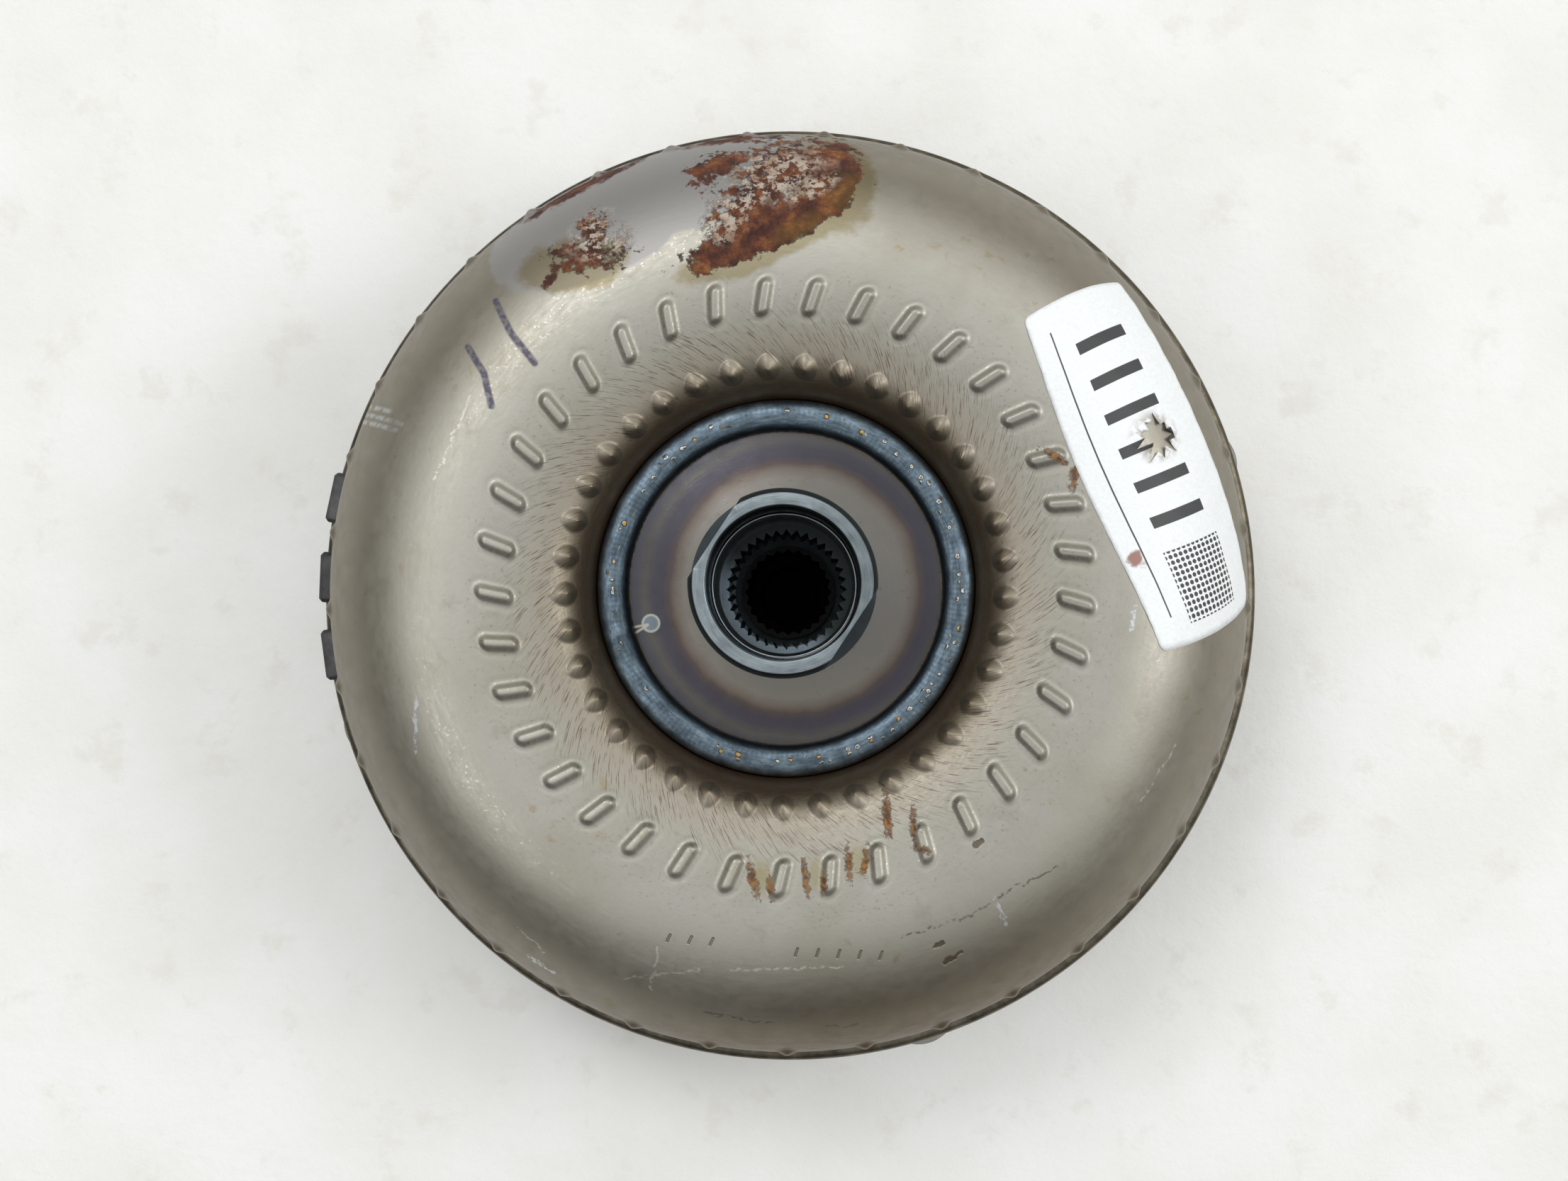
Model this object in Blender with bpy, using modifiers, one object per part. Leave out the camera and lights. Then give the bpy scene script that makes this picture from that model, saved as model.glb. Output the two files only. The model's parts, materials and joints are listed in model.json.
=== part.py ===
"""Lock-up torque converter of the ten inch class, as the pieces it comes apart into.

Units are metres. +Z runs along the shaft axis, from the faces of the drive bosses (z = 0)
to the tip of the pump hub. Angles are degrees, anticlockwise seen from the hub.
"""

import math

import bmesh
import bpy
from mathutils import Matrix, Vector

# Clearances
GAP = 0.0003            # between pieces that touch or are welded to each other
RUNNING_GAP = 0.0005    # between pieces that turn on each other
BLADE_GAP = 0.0008      # between a blade ring and the shell it is brazed to
SINK = 0.0012           # how deep a joined detail reaches into its carrier

# Pump hub
HUB_RADIUS = 0.022225
HUB_BORE_RADIUS = 0.0178
HUB_LENGTH = 0.033
HUB_CHAMFER = 0.0011
HUB_FLANGE_THICKNESS = 0.006
HUB_FLAT_DISTANCE = 0.0192
HUB_FLAT_DEPTH = 0.011
HUB_FLAT_ANGLE = 146.6
BUSH_WALL = 0.001
BUSH_LENGTH = 0.016

# Impeller shell: a meridian of tangent arcs around the fluid ring
SHELL_RADIUS = 0.1195
RING_BEND = 0.037
SHELL_WALL = 0.0025
SHELL_SKIRT = 0.0185
CREST_BEND = 0.103
CREST_TURN = 13.7
SHOULDER_BEND = 0.0143
SHOULDER_TURN = 66.3
SHELL_SEGMENTS = 56

# Impeller blades and the tab dimples they leave in the shell
BLADE_COUNT = 37
BLADE_THICKNESS = 0.0012
BLADE_BEND_INSET = 0.0165
BLADE_BEND_ANGLE = 7.45
BLADE_SWEEP = -190.0    # degrees a metre, outward of the bend
BLADE_INNER_SWEEP = 76.0
CORE_RADIUS = 0.013
CORE_WALL = 0.0012
CORE_START = 5.0
CORE_END = 130.0
DIMPLE_TAPER = 0.62
LONG_DIMPLE_INSET = 0.0117
LONG_DIMPLE_SIZE = (0.0097, 0.0034, 0.0009)
INNER_DIMPLE_INSET = 0.0289
INNER_DIMPLE_SIZE = (0.0049, 0.0047, 0.0014)
RIM_DIMPLE_INSET = 0.004
RIM_DIMPLE_SIZE = (0.0076, 0.0044, 0.0015)

# Front cover, its drive bosses and pilot
SEAM_WIDTH = 0.0055
COVER_WALL = 0.0047
COVER_STAND = 0.014     # the cover's annulus above the boss faces
COVER_DEPTH = 0.0435
COVER_CORNER = 0.0125
COVER_CORNER_STEPS = 2
COVER_DISH_INSET = 0.041
COVER_DISH_TURN = 26.6
COVER_DISH_BEND = 0.008
COVER_DISH_DEPTH = 0.006
COVER_SEGMENTS = 48
BOSS_COUNT = 4
BOSS_ANGLE = 17.4
BOSS_INSET = 0.006
BOSS_RADIUS = 0.011
BOSS_HEIGHT = 0.040
BOSS_HOLE_RADIUS = 0.0044
BOSS_HOLE_DEPTH = 0.012
PILOT_RADIUS = 0.020
PILOT_STEM_RADIUS = 0.0167
PILOT_STEM_RISE = 0.0028
PILOT_STAND = 0.001
PILOT_CHAMFER = 0.0008
PILOT_BORE_RADIUS = 0.0081
PILOT_FLOOR = 0.003

# Weld beads and balance weights
HUB_WELD_WIDTH = 0.0064
HUB_WELD_HEIGHT = 0.0036
SEAM_WELD_HEIGHT = 0.0024
WEIGHT_ANGLES = (168.3, 178.25, 187.9)
WEIGHT_SIZE = (0.0045, 0.0134, 0.0065)
WEIGHT_CHAMFER = 0.0008

# Turbine
PLANE_RISE = 0.0085     # mid-plane of the fluid ring above the cover's rim
IMPELLER_SHIFT = 0.0025
TURBINE_SHIFT = 0.002
TURBINE_RIM_GAP = 0.0011
TURBINE_WALL = 0.0016
TURBINE_LIP = 0.0015
TURBINE_BEND = 0.028
TURBINE_FLAT_INSET = 0.0025
TURBINE_RISE_SHARE = 0.735
TURBINE_RISE_TURN = 21.0
TURBINE_SEAT_MARGIN = 0.0019
TURBINE_SEGMENTS = 30
TURBINE_BLADE_COUNT = 29
TURBINE_SWEEP = 180.0
TURBINE_HUB_BASE_RADIUS = 0.0307
TURBINE_HUB_RADIUS = 0.028
TURBINE_FLANGE_RADIUS = 0.044
TURBINE_FLANGE_THICKNESS = 0.0038
NOSE_RADIUS = 0.0126
NOSE_LENGTH = 0.0098
SHAFT_SPLINE = (24, 0.0107, 0.0117)
RIVET_COUNT = 4
RIVET_CIRCLE_RADIUS = 0.0385
RIVET_RADIUS = 0.0025
RIVET_HEAD_RADIUS = 0.0042
RIVET_HEAD_HEIGHT = 0.0016

# Lock-up clutch
PISTON_TRAVEL = 0.0009
PISTON_STOP_GAP = 0.0001
PISTON_INSET = 0.011
PISTON_WALL = 0.0025
PISTON_COLLAR_WALL = 0.0025
PISTON_COLLAR_RISE = 0.0047
TAB_COUNT = 6
TAB_INSET = 0.010
TAB_SIZE = (0.0025, 0.010, 0.0047)
LINING_INSET = 0.006
LINING_WIDTH = 0.018
LINING_THICKNESS = 0.0012
SEAL_DEPTH = 0.002
SEAL_SQUARE = 0.0018
SEAL_RISE = 0.0044

# Torsional damper
DAMPER_SWING = 5.0
DAMPER_CLEARANCE = 0.0013
PLATE_THICKNESS = 0.002
PLATE_SPREAD = 0.00325
DRIVEN_PLATE_THICKNESS = 0.0024
DRIVE_PLATE_INSET = 0.003
PLATE_BORE_INSET = 0.012
REAR_PLATE_MARGIN = 0.004
SPRING_COUNT = 4
SPRING_CIRCLE_RADIUS = 0.062
SPRING_RADIUS = 0.006
SPRING_WIRE_RADIUS = 0.0014
SPRING_LENGTH = 0.034
SPRING_TURNS = 4
SPRING_TURN_STEPS = 8
PIN_OFFSET = 0.012
PIN_RADIUS = 0.0032
PIN_END_RADIUS = 0.002

# Stator and its one-way clutch
STATOR_SPLINE = (36, 0.0140, 0.0156)
INNER_RACE_RADIUS = 0.0238
LAND_GAP = 0.0017
OUTER_RACE_WALL = 0.0062
ROLLER_COUNT = 5
ROLLER_RADIUS = 0.0032
POCKET_LENGTH = 0.0156
ROLLER_SPRING_DEPTH = 0.0034
ROLLER_SPRING_STRIP = 0.0003
ROLLER_SPRING_FOLDS = 4
SLEEVE_WALL = 0.0097
STATOR_BLADE_COUNT = 13
STATOR_BLADE_SPAN = 0.0225
STATOR_BLADE_CHORD = 0.018
STATOR_BLADE_THICKNESS = 0.0046
STATOR_BLADE_LEAN = 32.0
SHROUD_WALL = 0.002
SHROUD_WIDTH = 0.015
CAP_THICKNESS = 0.0027
CAP_MARGIN = 0.007
CAP_BORE_RADIUS = 0.0175

# Needle thrust bearings: inner radius and radial width of each
BEARING_CAGE_THICKNESS = 0.0029
BEARING_WASHER_THICKNESS = 0.0015
NEEDLE_COUNT = 8
FRONT_BEARING_WIDTH = 0.012
MIDDLE_BEARING_BORE = 0.017
MIDDLE_BEARING_WIDTH = 0.010
REAR_BEARING_BORE = 0.024
REAR_BEARING_WIDTH = 0.014

# Radii worked out from the sizes above
RING_RADIUS = SHELL_RADIUS - RING_BEND
BLADE_BEND_RADIUS = RING_RADIUS - BLADE_BEND_INSET
LONG_DIMPLE_REACH = RING_RADIUS - LONG_DIMPLE_INSET
INNER_DIMPLE_REACH = RING_RADIUS - INNER_DIMPLE_INSET
RIM_DIMPLE_REACH = SHELL_RADIUS - RIM_DIMPLE_INSET
COVER_RADIUS = SHELL_RADIUS + SEAM_WIDTH
COVER_DISH_RADIUS = COVER_RADIUS - COVER_DISH_INSET
BOSS_CIRCLE_RADIUS = COVER_RADIUS - BOSS_INSET
TURBINE_RADIUS = SHELL_RADIUS - SHELL_WALL - TURBINE_RIM_GAP
TURBINE_FLAT_END = RING_RADIUS - TURBINE_FLAT_INSET
TURBINE_RISE_RUN = TURBINE_FLAT_END - TURBINE_FLANGE_RADIUS - TURBINE_SEAT_MARGIN
TURBINE_BENDS = TURBINE_RISE_RUN / math.sin(math.radians(TURBINE_RISE_TURN))
TURBINE_RISE_BEND = TURBINE_BENDS * TURBINE_RISE_SHARE
TURBINE_FLANGE_BEND = TURBINE_BENDS - TURBINE_RISE_BEND
PISTON_RADIUS = COVER_RADIUS - PISTON_INSET
TAB_REACH = PISTON_RADIUS - TAB_INSET
LINING_INNER_RADIUS = PISTON_RADIUS - LINING_INSET - LINING_WIDTH
DRIVE_PLATE_RADIUS = PISTON_RADIUS - DRIVE_PLATE_INSET
DRIVE_PLATE_BORE = SPRING_CIRCLE_RADIUS - PLATE_BORE_INSET
PIN_CIRCLE_RADIUS = SPRING_CIRCLE_RADIUS + PIN_OFFSET
REAR_PLATE_RADIUS = PIN_CIRCLE_RADIUS + REAR_PLATE_MARGIN
ROLLER_CIRCLE_RADIUS = INNER_RACE_RADIUS + GAP + ROLLER_RADIUS
POCKET_RADIUS = ROLLER_CIRCLE_RADIUS + ROLLER_RADIUS + GAP
OUTER_RACE_RADIUS = POCKET_RADIUS + OUTER_RACE_WALL
CAP_RADIUS = OUTER_RACE_RADIUS + CAP_MARGIN
SLEEVE_BORE = OUTER_RACE_RADIUS + GAP
SLEEVE_RADIUS = SLEEVE_BORE + SLEEVE_WALL
SHROUD_BORE = SLEEVE_RADIUS + STATOR_BLADE_SPAN

# Levels along the axis
COVER_CENTRE = COVER_STAND - COVER_DISH_DEPTH
COVER_FLOOR = COVER_CENTRE + COVER_WALL
COVER_RIM = COVER_STAND + COVER_DEPTH
RING_PLANE = COVER_RIM + PLANE_RISE
IMPELLER_CENTRE = RING_PLANE + IMPELLER_SHIFT
TURBINE_CENTRE = RING_PLANE - TURBINE_SHIFT
BEARING_HEIGHT = BEARING_CAGE_THICKNESS + GAP + BEARING_WASHER_THICKNESS
TURBINE_HUB_BASE = COVER_FLOOR + GAP + BEARING_HEIGHT + GAP
LINING_BASE = COVER_STAND + COVER_WALL + PISTON_STOP_GAP + PISTON_TRAVEL
PISTON_BASE = LINING_BASE + LINING_THICKNESS + GAP
PISTON_TOP = PISTON_BASE + PISTON_WALL
DRIVE_PLATE_BASE = PISTON_TOP + DAMPER_CLEARANCE
DAMPER_CENTRE = DRIVE_PLATE_BASE + PLATE_THICKNESS + PLATE_SPREAD
DRIVEN_PLATE_BASE = DAMPER_CENTRE - DRIVEN_PLATE_THICKNESS / 2
REAR_PLATE_BASE = DAMPER_CENTRE + PLATE_SPREAD


def walk(start, heading, moves, shift=0.0):
    """Follow straight runs and tangent arcs in the half-plane of radius and height.

    A left turn is positive, and shift draws the parallel path that far to the left. A move
    is ("radius", r) or ("height", z), a straight run until that value is reached, or
    ("arc", bend, turn, steps).
    """
    angle = math.radians(heading)
    along = Vector((math.cos(angle), math.sin(angle)))
    spot = Vector(start) + shift * along.orthogonal()
    points = [spot]
    for kind, value, *bend in moves:
        if kind == "arc":
            turn, steps = bend
            side = math.copysign(1.0, turn)
            centre = spot + side * (value - side * shift) * along.orthogonal()
            for step in range(1, steps + 1):
                swing = Matrix.Rotation(math.radians(turn) * step / steps, 2)
                points.append(centre + swing @ (spot - centre))
            along = Matrix.Rotation(math.radians(turn), 2) @ along
        else:
            component = 0 if kind == "radius" else 1
            run = (value - spot[component]) / along[component]
            points.append(spot + run * along)
        spot = points[-1]
    return points


def impeller_meridian(depth, arc_steps=5, crest_steps=1, shoulder_steps=2):
    """The impeller shell's section at a depth under its outside, from skirt to hub."""
    moves = [
        ("height", IMPELLER_CENTRE),
        ("arc", RING_BEND, 90.0, arc_steps),
        ("arc", CREST_BEND, CREST_TURN, crest_steps),
        ("arc", SHOULDER_BEND, SHOULDER_TURN, shoulder_steps),
    ]
    return walk((SHELL_RADIUS, IMPELLER_CENTRE - SHELL_SKIRT), 90.0, moves, depth)


SHELL_END = impeller_meridian(0.0)[-1]
HUB_SEAT_RADIUS = SHELL_END.x - SHELL_WALL - GAP
HUB_FLANGE_TOP = SHELL_END.y + GAP
HUB_FLANGE_BASE = HUB_FLANGE_TOP - HUB_FLANGE_THICKNESS
HUB_TIP = HUB_FLANGE_TOP + HUB_LENGTH
REAR_CAP_TOP = HUB_FLANGE_BASE - GAP - BEARING_HEIGHT - GAP
REAR_CAP_BASE = REAR_CAP_TOP - CAP_THICKNESS


def turbine_meridian(depth, arc_steps=3, rise_steps=1):
    """The turbine shell's section at a depth inside its outer face, from lip to flange."""
    moves = [
        ("height", TURBINE_CENTRE),
        ("arc", TURBINE_BEND, -90.0, arc_steps),
        ("radius", TURBINE_FLAT_END),
        ("arc", TURBINE_RISE_BEND, -TURBINE_RISE_TURN, rise_steps),
        ("arc", TURBINE_FLANGE_BEND, TURBINE_RISE_TURN, rise_steps),
        ("radius", TURBINE_HUB_RADIUS + GAP),
    ]
    return walk((TURBINE_RADIUS, TURBINE_CENTRE + TURBINE_LIP), -90.0, moves, -depth)


TURBINE_FLANGE_TOP = turbine_meridian(0.0)[-1].y - GAP
TURBINE_FLANGE_BASE = TURBINE_FLANGE_TOP - TURBINE_FLANGE_THICKNESS
TURBINE_SHOULDER = TURBINE_FLANGE_TOP + GAP + TURBINE_WALL + GAP
FRONT_CAP_BASE = TURBINE_SHOULDER + GAP + BEARING_HEIGHT + GAP
STATOR_BASE = FRONT_CAP_BASE + CAP_THICKNESS + GAP
STATOR_TOP = REAR_CAP_BASE - GAP
STATOR_CENTRE = (STATOR_BASE + STATOR_TOP) / 2


def cover_meridian(shift):
    """The front cover's section from rim to pilot hole, shift outside its outer face."""
    last_bend = COVER_DISH_BEND + shift
    slope_end = COVER_CENTRE - shift + last_bend * (1 - math.cos(math.radians(COVER_DISH_TURN)))
    moves = [
        ("height", COVER_STAND + COVER_CORNER),
        ("arc", COVER_CORNER, -90.0, COVER_CORNER_STEPS),
        ("radius", COVER_DISH_RADIUS),
        ("arc", COVER_DISH_BEND, COVER_DISH_TURN, 1),
        ("height", slope_end),
        ("arc", COVER_DISH_BEND, -COVER_DISH_TURN, 1),
        ("radius", PILOT_STEM_RADIUS + GAP),
    ]
    return walk((COVER_RADIUS, COVER_RIM), -90.0, moves, shift)


def clear_scene():
    for old in list(bpy.data.objects):
        bpy.data.objects.remove(old, do_unlink=True)


def make_collection(name):
    collection = bpy.data.collections.new(name)
    bpy.context.scene.collection.children.link(collection)
    return collection


def make_finish(name, colour, roughness, metallic=1.0):
    finish = bpy.data.materials.new(name)
    finish.use_nodes = True
    shader = finish.node_tree.nodes["Principled BSDF"]
    shader.inputs["Base Color"].default_value = (*colour, 1.0)
    shader.inputs["Roughness"].default_value = roughness
    shader.inputs["Metallic"].default_value = metallic
    return finish


def add_piece(name, data, finish, place=(0.0, 0.0, 0.0), turn=0.0, carrier=None):
    """Put a mesh or curve into the assembly, turned about Z and hung on its carrier."""
    if not data.materials:
        data.materials.append(finish)
    piece = bpy.data.objects.new(name, data)
    piece.location = place
    piece.rotation_euler.z = math.radians(turn)
    piece.parent = carrier
    PARTS.objects.link(piece)
    return piece


def mesh_from(name, bm):
    """Close a bmesh into a mesh whose round sides shade smooth."""
    bmesh.ops.recalc_face_normals(bm, faces=bm.faces)
    mesh = bpy.data.meshes.new(name)
    bm.to_mesh(mesh)
    bm.free()
    mesh.shade_smooth()
    mesh.set_sharp_from_angle(angle=math.radians(30.0))
    return mesh


def turned_object(name, profile, segments, closed):
    """A profile at +X, running down its outer side, turned about Z."""
    bm = bmesh.new()
    ring = [bm.verts.new((radius, 0.0, height)) for radius, height in profile]
    edges = list(zip(ring, ring[1:]))
    if closed:
        edges.append((ring[-1], ring[0]))
    for edge in edges:
        bm.edges.new(edge)
    mesh = bpy.data.meshes.new(name)
    bm.to_mesh(mesh)
    bm.free()
    piece = bpy.data.objects.new(name, mesh)
    screw = piece.modifiers.new("turn", "SCREW")
    screw.steps = segments
    screw.render_steps = segments
    screw.use_merge_vertices = True
    screw.merge_threshold = 0.00001
    return piece


def turned(name, profile, finish, carrier, segments=28, closed=True):
    """A turned piece whose origin lies on the axis, level with its lowest point."""
    base = min(height for _, height in profile)
    piece = turned_object(name, [(r, z - base) for r, z in profile], segments, closed)
    piece.data.materials.append(finish)
    piece.location.z = base
    piece.parent = carrier
    PARTS.objects.link(piece)
    return piece


def ring(name, inner, outer, base, height, finish, carrier, segments=28):
    """A flat ring of rectangular section."""
    top = base + height
    profile = [(outer, top), (outer, base), (inner, base), (inner, top)]
    return turned(name, profile, finish, carrier, segments)


def use_operand(piece, operand, operation):
    """Cut or join a guide object, which is kept out of the assembly."""
    if operand.name not in GUIDES.objects:
        GUIDES.objects.link(operand)
        operand.hide_render = True
        operand.display_type = "WIRE"
    step = piece.modifiers.new(operand.name, "BOOLEAN")
    step.operation = operation
    step.solver = "EXACT"
    step.object = operand


def cut(piece, operand):
    use_operand(piece, operand, "DIFFERENCE")


def join(piece, operand):
    use_operand(piece, operand, "UNION")


def polar(radius, degrees, height=0.0):
    """The place and heading of a local frame whose X points outward."""
    turn = Matrix.Rotation(math.radians(degrees), 4, "Z")
    return turn @ Matrix.Translation((radius, 0.0, height))


def add_box(bm, size, frame):
    scale = Matrix.Diagonal((*size, 1.0))
    return bmesh.ops.create_cube(bm, size=1.0, matrix=frame @ scale)["verts"]


def add_rod(bm, radius, length, frame, sides=16):
    """A cylinder along the frame's Z, centred on it."""
    bmesh.ops.create_cone(
        bm, cap_ends=True, segments=sides, radius1=radius, radius2=radius, depth=length, matrix=frame
    )


def guide(name, bm):
    return bpy.data.objects.new(name, mesh_from(name, bm))


def boxes(name, size, frames):
    bm = bmesh.new()
    for frame in frames:
        add_box(bm, size, frame)
    return guide(name, bm)


def rods(name, radius, length, frames, sides=16):
    bm = bmesh.new()
    for frame in frames:
        add_rod(bm, radius, length, frame, sides)
    return guide(name, bm)


def spread(count, radius, height, start=0.0):
    """Frames spaced evenly around the axis."""
    return [polar(radius, start + 360.0 * index / count, height) for index in range(count)]


def spline_core(name, spline, base, top):
    """The cutter that leaves internal serrations: a star-shaped prism."""
    teeth, tip, root = spline
    bm = bmesh.new()
    centre = Matrix.Translation((0.0, 0.0, (base + top) / 2))
    length = top - base + 2 * SINK
    add_rod(bm, root, length, centre, 2 * teeth)
    step = math.pi / teeth
    for vertex in bm.verts:
        place = round(math.atan2(vertex.co.y, vertex.co.x) / step)
        if place % 2:
            vertex.co.xy *= tip / root
    return guide(name, bm)


def bead(inner, outer, base, height, steps=3):
    """A weld bead's section: half an ellipse on a flat base."""
    middle = (inner + outer) / 2
    width = (outer - inner) / 2
    angles = [math.pi * step / steps for step in range(steps + 1)]
    return [(middle - width * math.cos(a), base + height * math.sin(a)) for a in angles]


def blade_angle(radius, sweep=BLADE_SWEEP, inner_sweep=BLADE_INNER_SWEEP):
    """Where a blade that is bent along its length stands at a radius."""
    slope = sweep if radius > BLADE_BEND_RADIUS else inner_sweep
    return BLADE_BEND_ANGLE + slope * (radius - BLADE_BEND_RADIUS)


def meridian_point(reach):
    """The outside of the impeller shell at a radius, and its outward slope angle."""
    fine = impeller_meridian(0.0, arc_steps=60, crest_steps=20, shoulder_steps=40)[1:]
    for outer, inner in zip(fine, fine[1:]):
        if inner.x <= reach < outer.x:
            along = inner - outer
            share = (reach - outer.x) / along.x
            return outer + share * along, math.atan2(-along.x, along.y)
    raise ValueError("no shell at this radius")


def dimples(name, reach, size):
    """The row of tab dimples that stands out of the shell at one radius."""
    length, width, height = size
    spot, slope = meridian_point(reach)
    tilt = Matrix.Rotation(math.pi / 2 - slope, 4, "Y")
    bend = math.radians(BLADE_SWEEP) * reach if reach > BLADE_BEND_RADIUS else 0.0
    twist = Matrix.Rotation(math.atan(bend), 4, "Z")
    bm = bmesh.new()
    for index in range(BLADE_COUNT):
        frame = polar(spot.x, blade_angle(reach) + 360.0 * index / BLADE_COUNT, spot.y)
        lift = Matrix.Translation((0.0, 0.0, (height - SINK) / 2))
        for corner in add_box(bm, (length, width, height + SINK), lift):
            if corner.co.z > 0.0:
                corner.co.xy *= DIMPLE_TAPER
            corner.co = frame @ tilt @ twist @ corner.co
    return guide(name, bm)


def blade_ring(name, outer, count, angle_at, centre, side, finish, carrier):
    """Thin blades between a shell and a core ring, joined by that core ring.

    outer is the blade's edge along the shell, angle_at bends the blade along its length,
    and side is 1 for a ring that opens downwards and -1 for one that opens upwards.
    """
    inner = core_arc(CORE_RADIUS + CORE_WALL / 2, centre, side)
    bm = bmesh.new()
    for index in range(count):
        turn = 360.0 * index / count
        rails = []
        for rail in (outer, inner):
            corners = [polar(r, angle_at(r) + turn, z).translation for r, z in rail]
            rails.append([bm.verts.new(corner) for corner in corners])
        span_rails(bm, *rails)
    piece = add_piece(name, mesh_from(name, bm), finish, carrier=carrier)
    skin = piece.modifiers.new("thickness", "SOLIDIFY")
    skin.thickness = BLADE_THICKNESS
    skin.offset = 0.0
    loop = core_arc(CORE_RADIUS + CORE_WALL, centre, side) + core_arc(CORE_RADIUS, centre, side)[::-1]
    if side > 0:
        loop.reverse()
    join(piece, turned_object(name + "_core", loop, count, True))
    return piece


def span_rails(bm, near, far):
    """Triangles between two rails of points, stepping along the one that lags."""
    here, there = 0, 0
    while here < len(near) - 1 or there < len(far) - 1:
        if (here + 1) * (len(far) - 1) <= (there + 1) * (len(near) - 1):
            bm.faces.new((near[here], near[here + 1], far[there]))
            here += 1
        else:
            bm.faces.new((near[here], far[there + 1], far[there]))
            there += 1


def core_arc(radius, centre, side, steps=2):
    """The core ring's section: an arc around the middle of the fluid ring."""
    angles = [CORE_START + (CORE_END - CORE_START) * step / steps for step in range(steps + 1)]
    turns = [math.radians(angle) for angle in angles]
    return [
        Vector((RING_RADIUS + radius * math.cos(a), centre + side * radius * math.sin(a))) for a in turns
    ]


def needle_cage(name, inner, width, base, finish, carrier):
    """A thrust cage: a thin ring with radial needles that stand out of both faces."""
    needle = BEARING_CAGE_THICKNESS / 2
    middle = base + needle
    piece = ring(name, inner, inner + width, middle - needle / 2, needle, finish, carrier, 24)
    bm = bmesh.new()
    lie = Matrix.Rotation(math.pi / 2, 4, "Y")
    for frame in spread(NEEDLE_COUNT, inner + width / 2, middle):
        add_rod(bm, needle, width - 4 * GAP, frame @ lie, 6)
    join(piece, guide(name + "_needles", bm))
    return piece


def coil(name, radius, wire, length, turns, finish, frame, carrier):
    """A compression spring that lies along its own X."""
    curve = bpy.data.curves.new(name, "CURVE")
    curve.dimensions = "3D"
    curve.bevel_depth = wire
    curve.bevel_resolution = 0
    curve.use_fill_caps = True
    steps = SPRING_TURN_STEPS * turns
    line = curve.splines.new("POLY")
    line.points.add(steps)
    for index, point in enumerate(line.points):
        angle = math.tau * index / SPRING_TURN_STEPS
        along = (index / steps - 0.5) * (length - 2 * wire)
        point.co = (along, (radius - wire) * math.cos(angle), (radius - wire) * math.sin(angle), 1.0)
    piece = add_piece(name, curve, finish, carrier=carrier)
    piece.matrix_local = frame
    return piece


def build_housing(carrier):
    """Everything that is welded into one case: shell, hub, cover, bosses and weights."""
    outer = impeller_meridian(0.0)
    inner = impeller_meridian(SHELL_WALL, arc_steps=4, shoulder_steps=1)
    shell = turned("impeller_shell", outer[::-1] + inner, PRESSED_STEEL, carrier, SHELL_SEGMENTS)
    join(shell, dimples("long_dimples", LONG_DIMPLE_REACH, LONG_DIMPLE_SIZE))
    join(shell, dimples("inner_dimples", INNER_DIMPLE_REACH, INNER_DIMPLE_SIZE))
    join(shell, dimples("rim_dimples", RIM_DIMPLE_REACH, RIM_DIMPLE_SIZE))

    edge = impeller_meridian(SHELL_WALL + BLADE_GAP, arc_steps=4)[1:7]
    blade_ring(
        "impeller_blade_ring", edge, BLADE_COUNT, blade_angle, IMPELLER_CENTRE, 1, BLADE_STEEL, carrier,
    )

    build_pump_hub(carrier)
    build_cover(carrier)

    weld_outer = SHELL_END.x - GAP
    profile = bead(weld_outer - HUB_WELD_WIDTH, weld_outer, HUB_FLANGE_TOP + GAP, HUB_WELD_HEIGHT)
    turned("hub_weld", profile, WELD_STEEL, carrier, 40)
    seam_base = COVER_RIM + GAP
    profile = bead(SHELL_RADIUS + GAP, COVER_RADIUS - GAP, seam_base, SEAM_WELD_HEIGHT)
    turned("seam_weld", profile, WELD_STEEL, carrier, COVER_SEGMENTS)

    for index, angle in enumerate(WEIGHT_ANGLES):
        bm = bmesh.new()
        add_box(bm, WEIGHT_SIZE, Matrix.Identity(4))
        name = f"balance_weight_{index + 1}"
        frame = polar(SHELL_RADIUS + GAP + WEIGHT_SIZE[0] / 2, angle)
        place = frame.translation
        place.z = seam_base + SEAM_WELD_HEIGHT + GAP + WEIGHT_SIZE[2] / 2
        weight = add_piece(name, mesh_from(name, bm), BLACK_STEEL, place, angle, carrier)
        edge = weight.modifiers.new("edges", "BEVEL")
        edge.width = WEIGHT_CHAMFER
        edge.segments = 1


def build_pump_hub(carrier):
    profile = [
        (HUB_RADIUS - HUB_CHAMFER, HUB_TIP), (HUB_RADIUS, HUB_TIP - HUB_CHAMFER),
        (HUB_RADIUS, HUB_FLANGE_TOP), (HUB_SEAT_RADIUS, HUB_FLANGE_TOP),
        (HUB_SEAT_RADIUS, HUB_FLANGE_BASE), (HUB_BORE_RADIUS, HUB_FLANGE_BASE),
        (HUB_BORE_RADIUS, HUB_TIP),
    ]
    hub = turned("pump_hub", profile, TURNED_STEEL, carrier, 40)
    slab = (HUB_RADIUS - HUB_FLAT_DISTANCE + SINK, 2 * HUB_RADIUS, HUB_FLAT_DEPTH + SINK)
    middle = HUB_TIP + (SINK - HUB_FLAT_DEPTH) / 2
    reach = HUB_FLAT_DISTANCE + slab[0] / 2
    cut(hub, boxes("hub_flats", slab, spread(2, reach, middle, HUB_FLAT_ANGLE)))
    bush_radius = HUB_BORE_RADIUS - GAP
    bush_base = HUB_FLANGE_TOP
    ring("hub_bush", bush_radius - BUSH_WALL, bush_radius, bush_base, BUSH_LENGTH, BRONZE, carrier)


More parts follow.
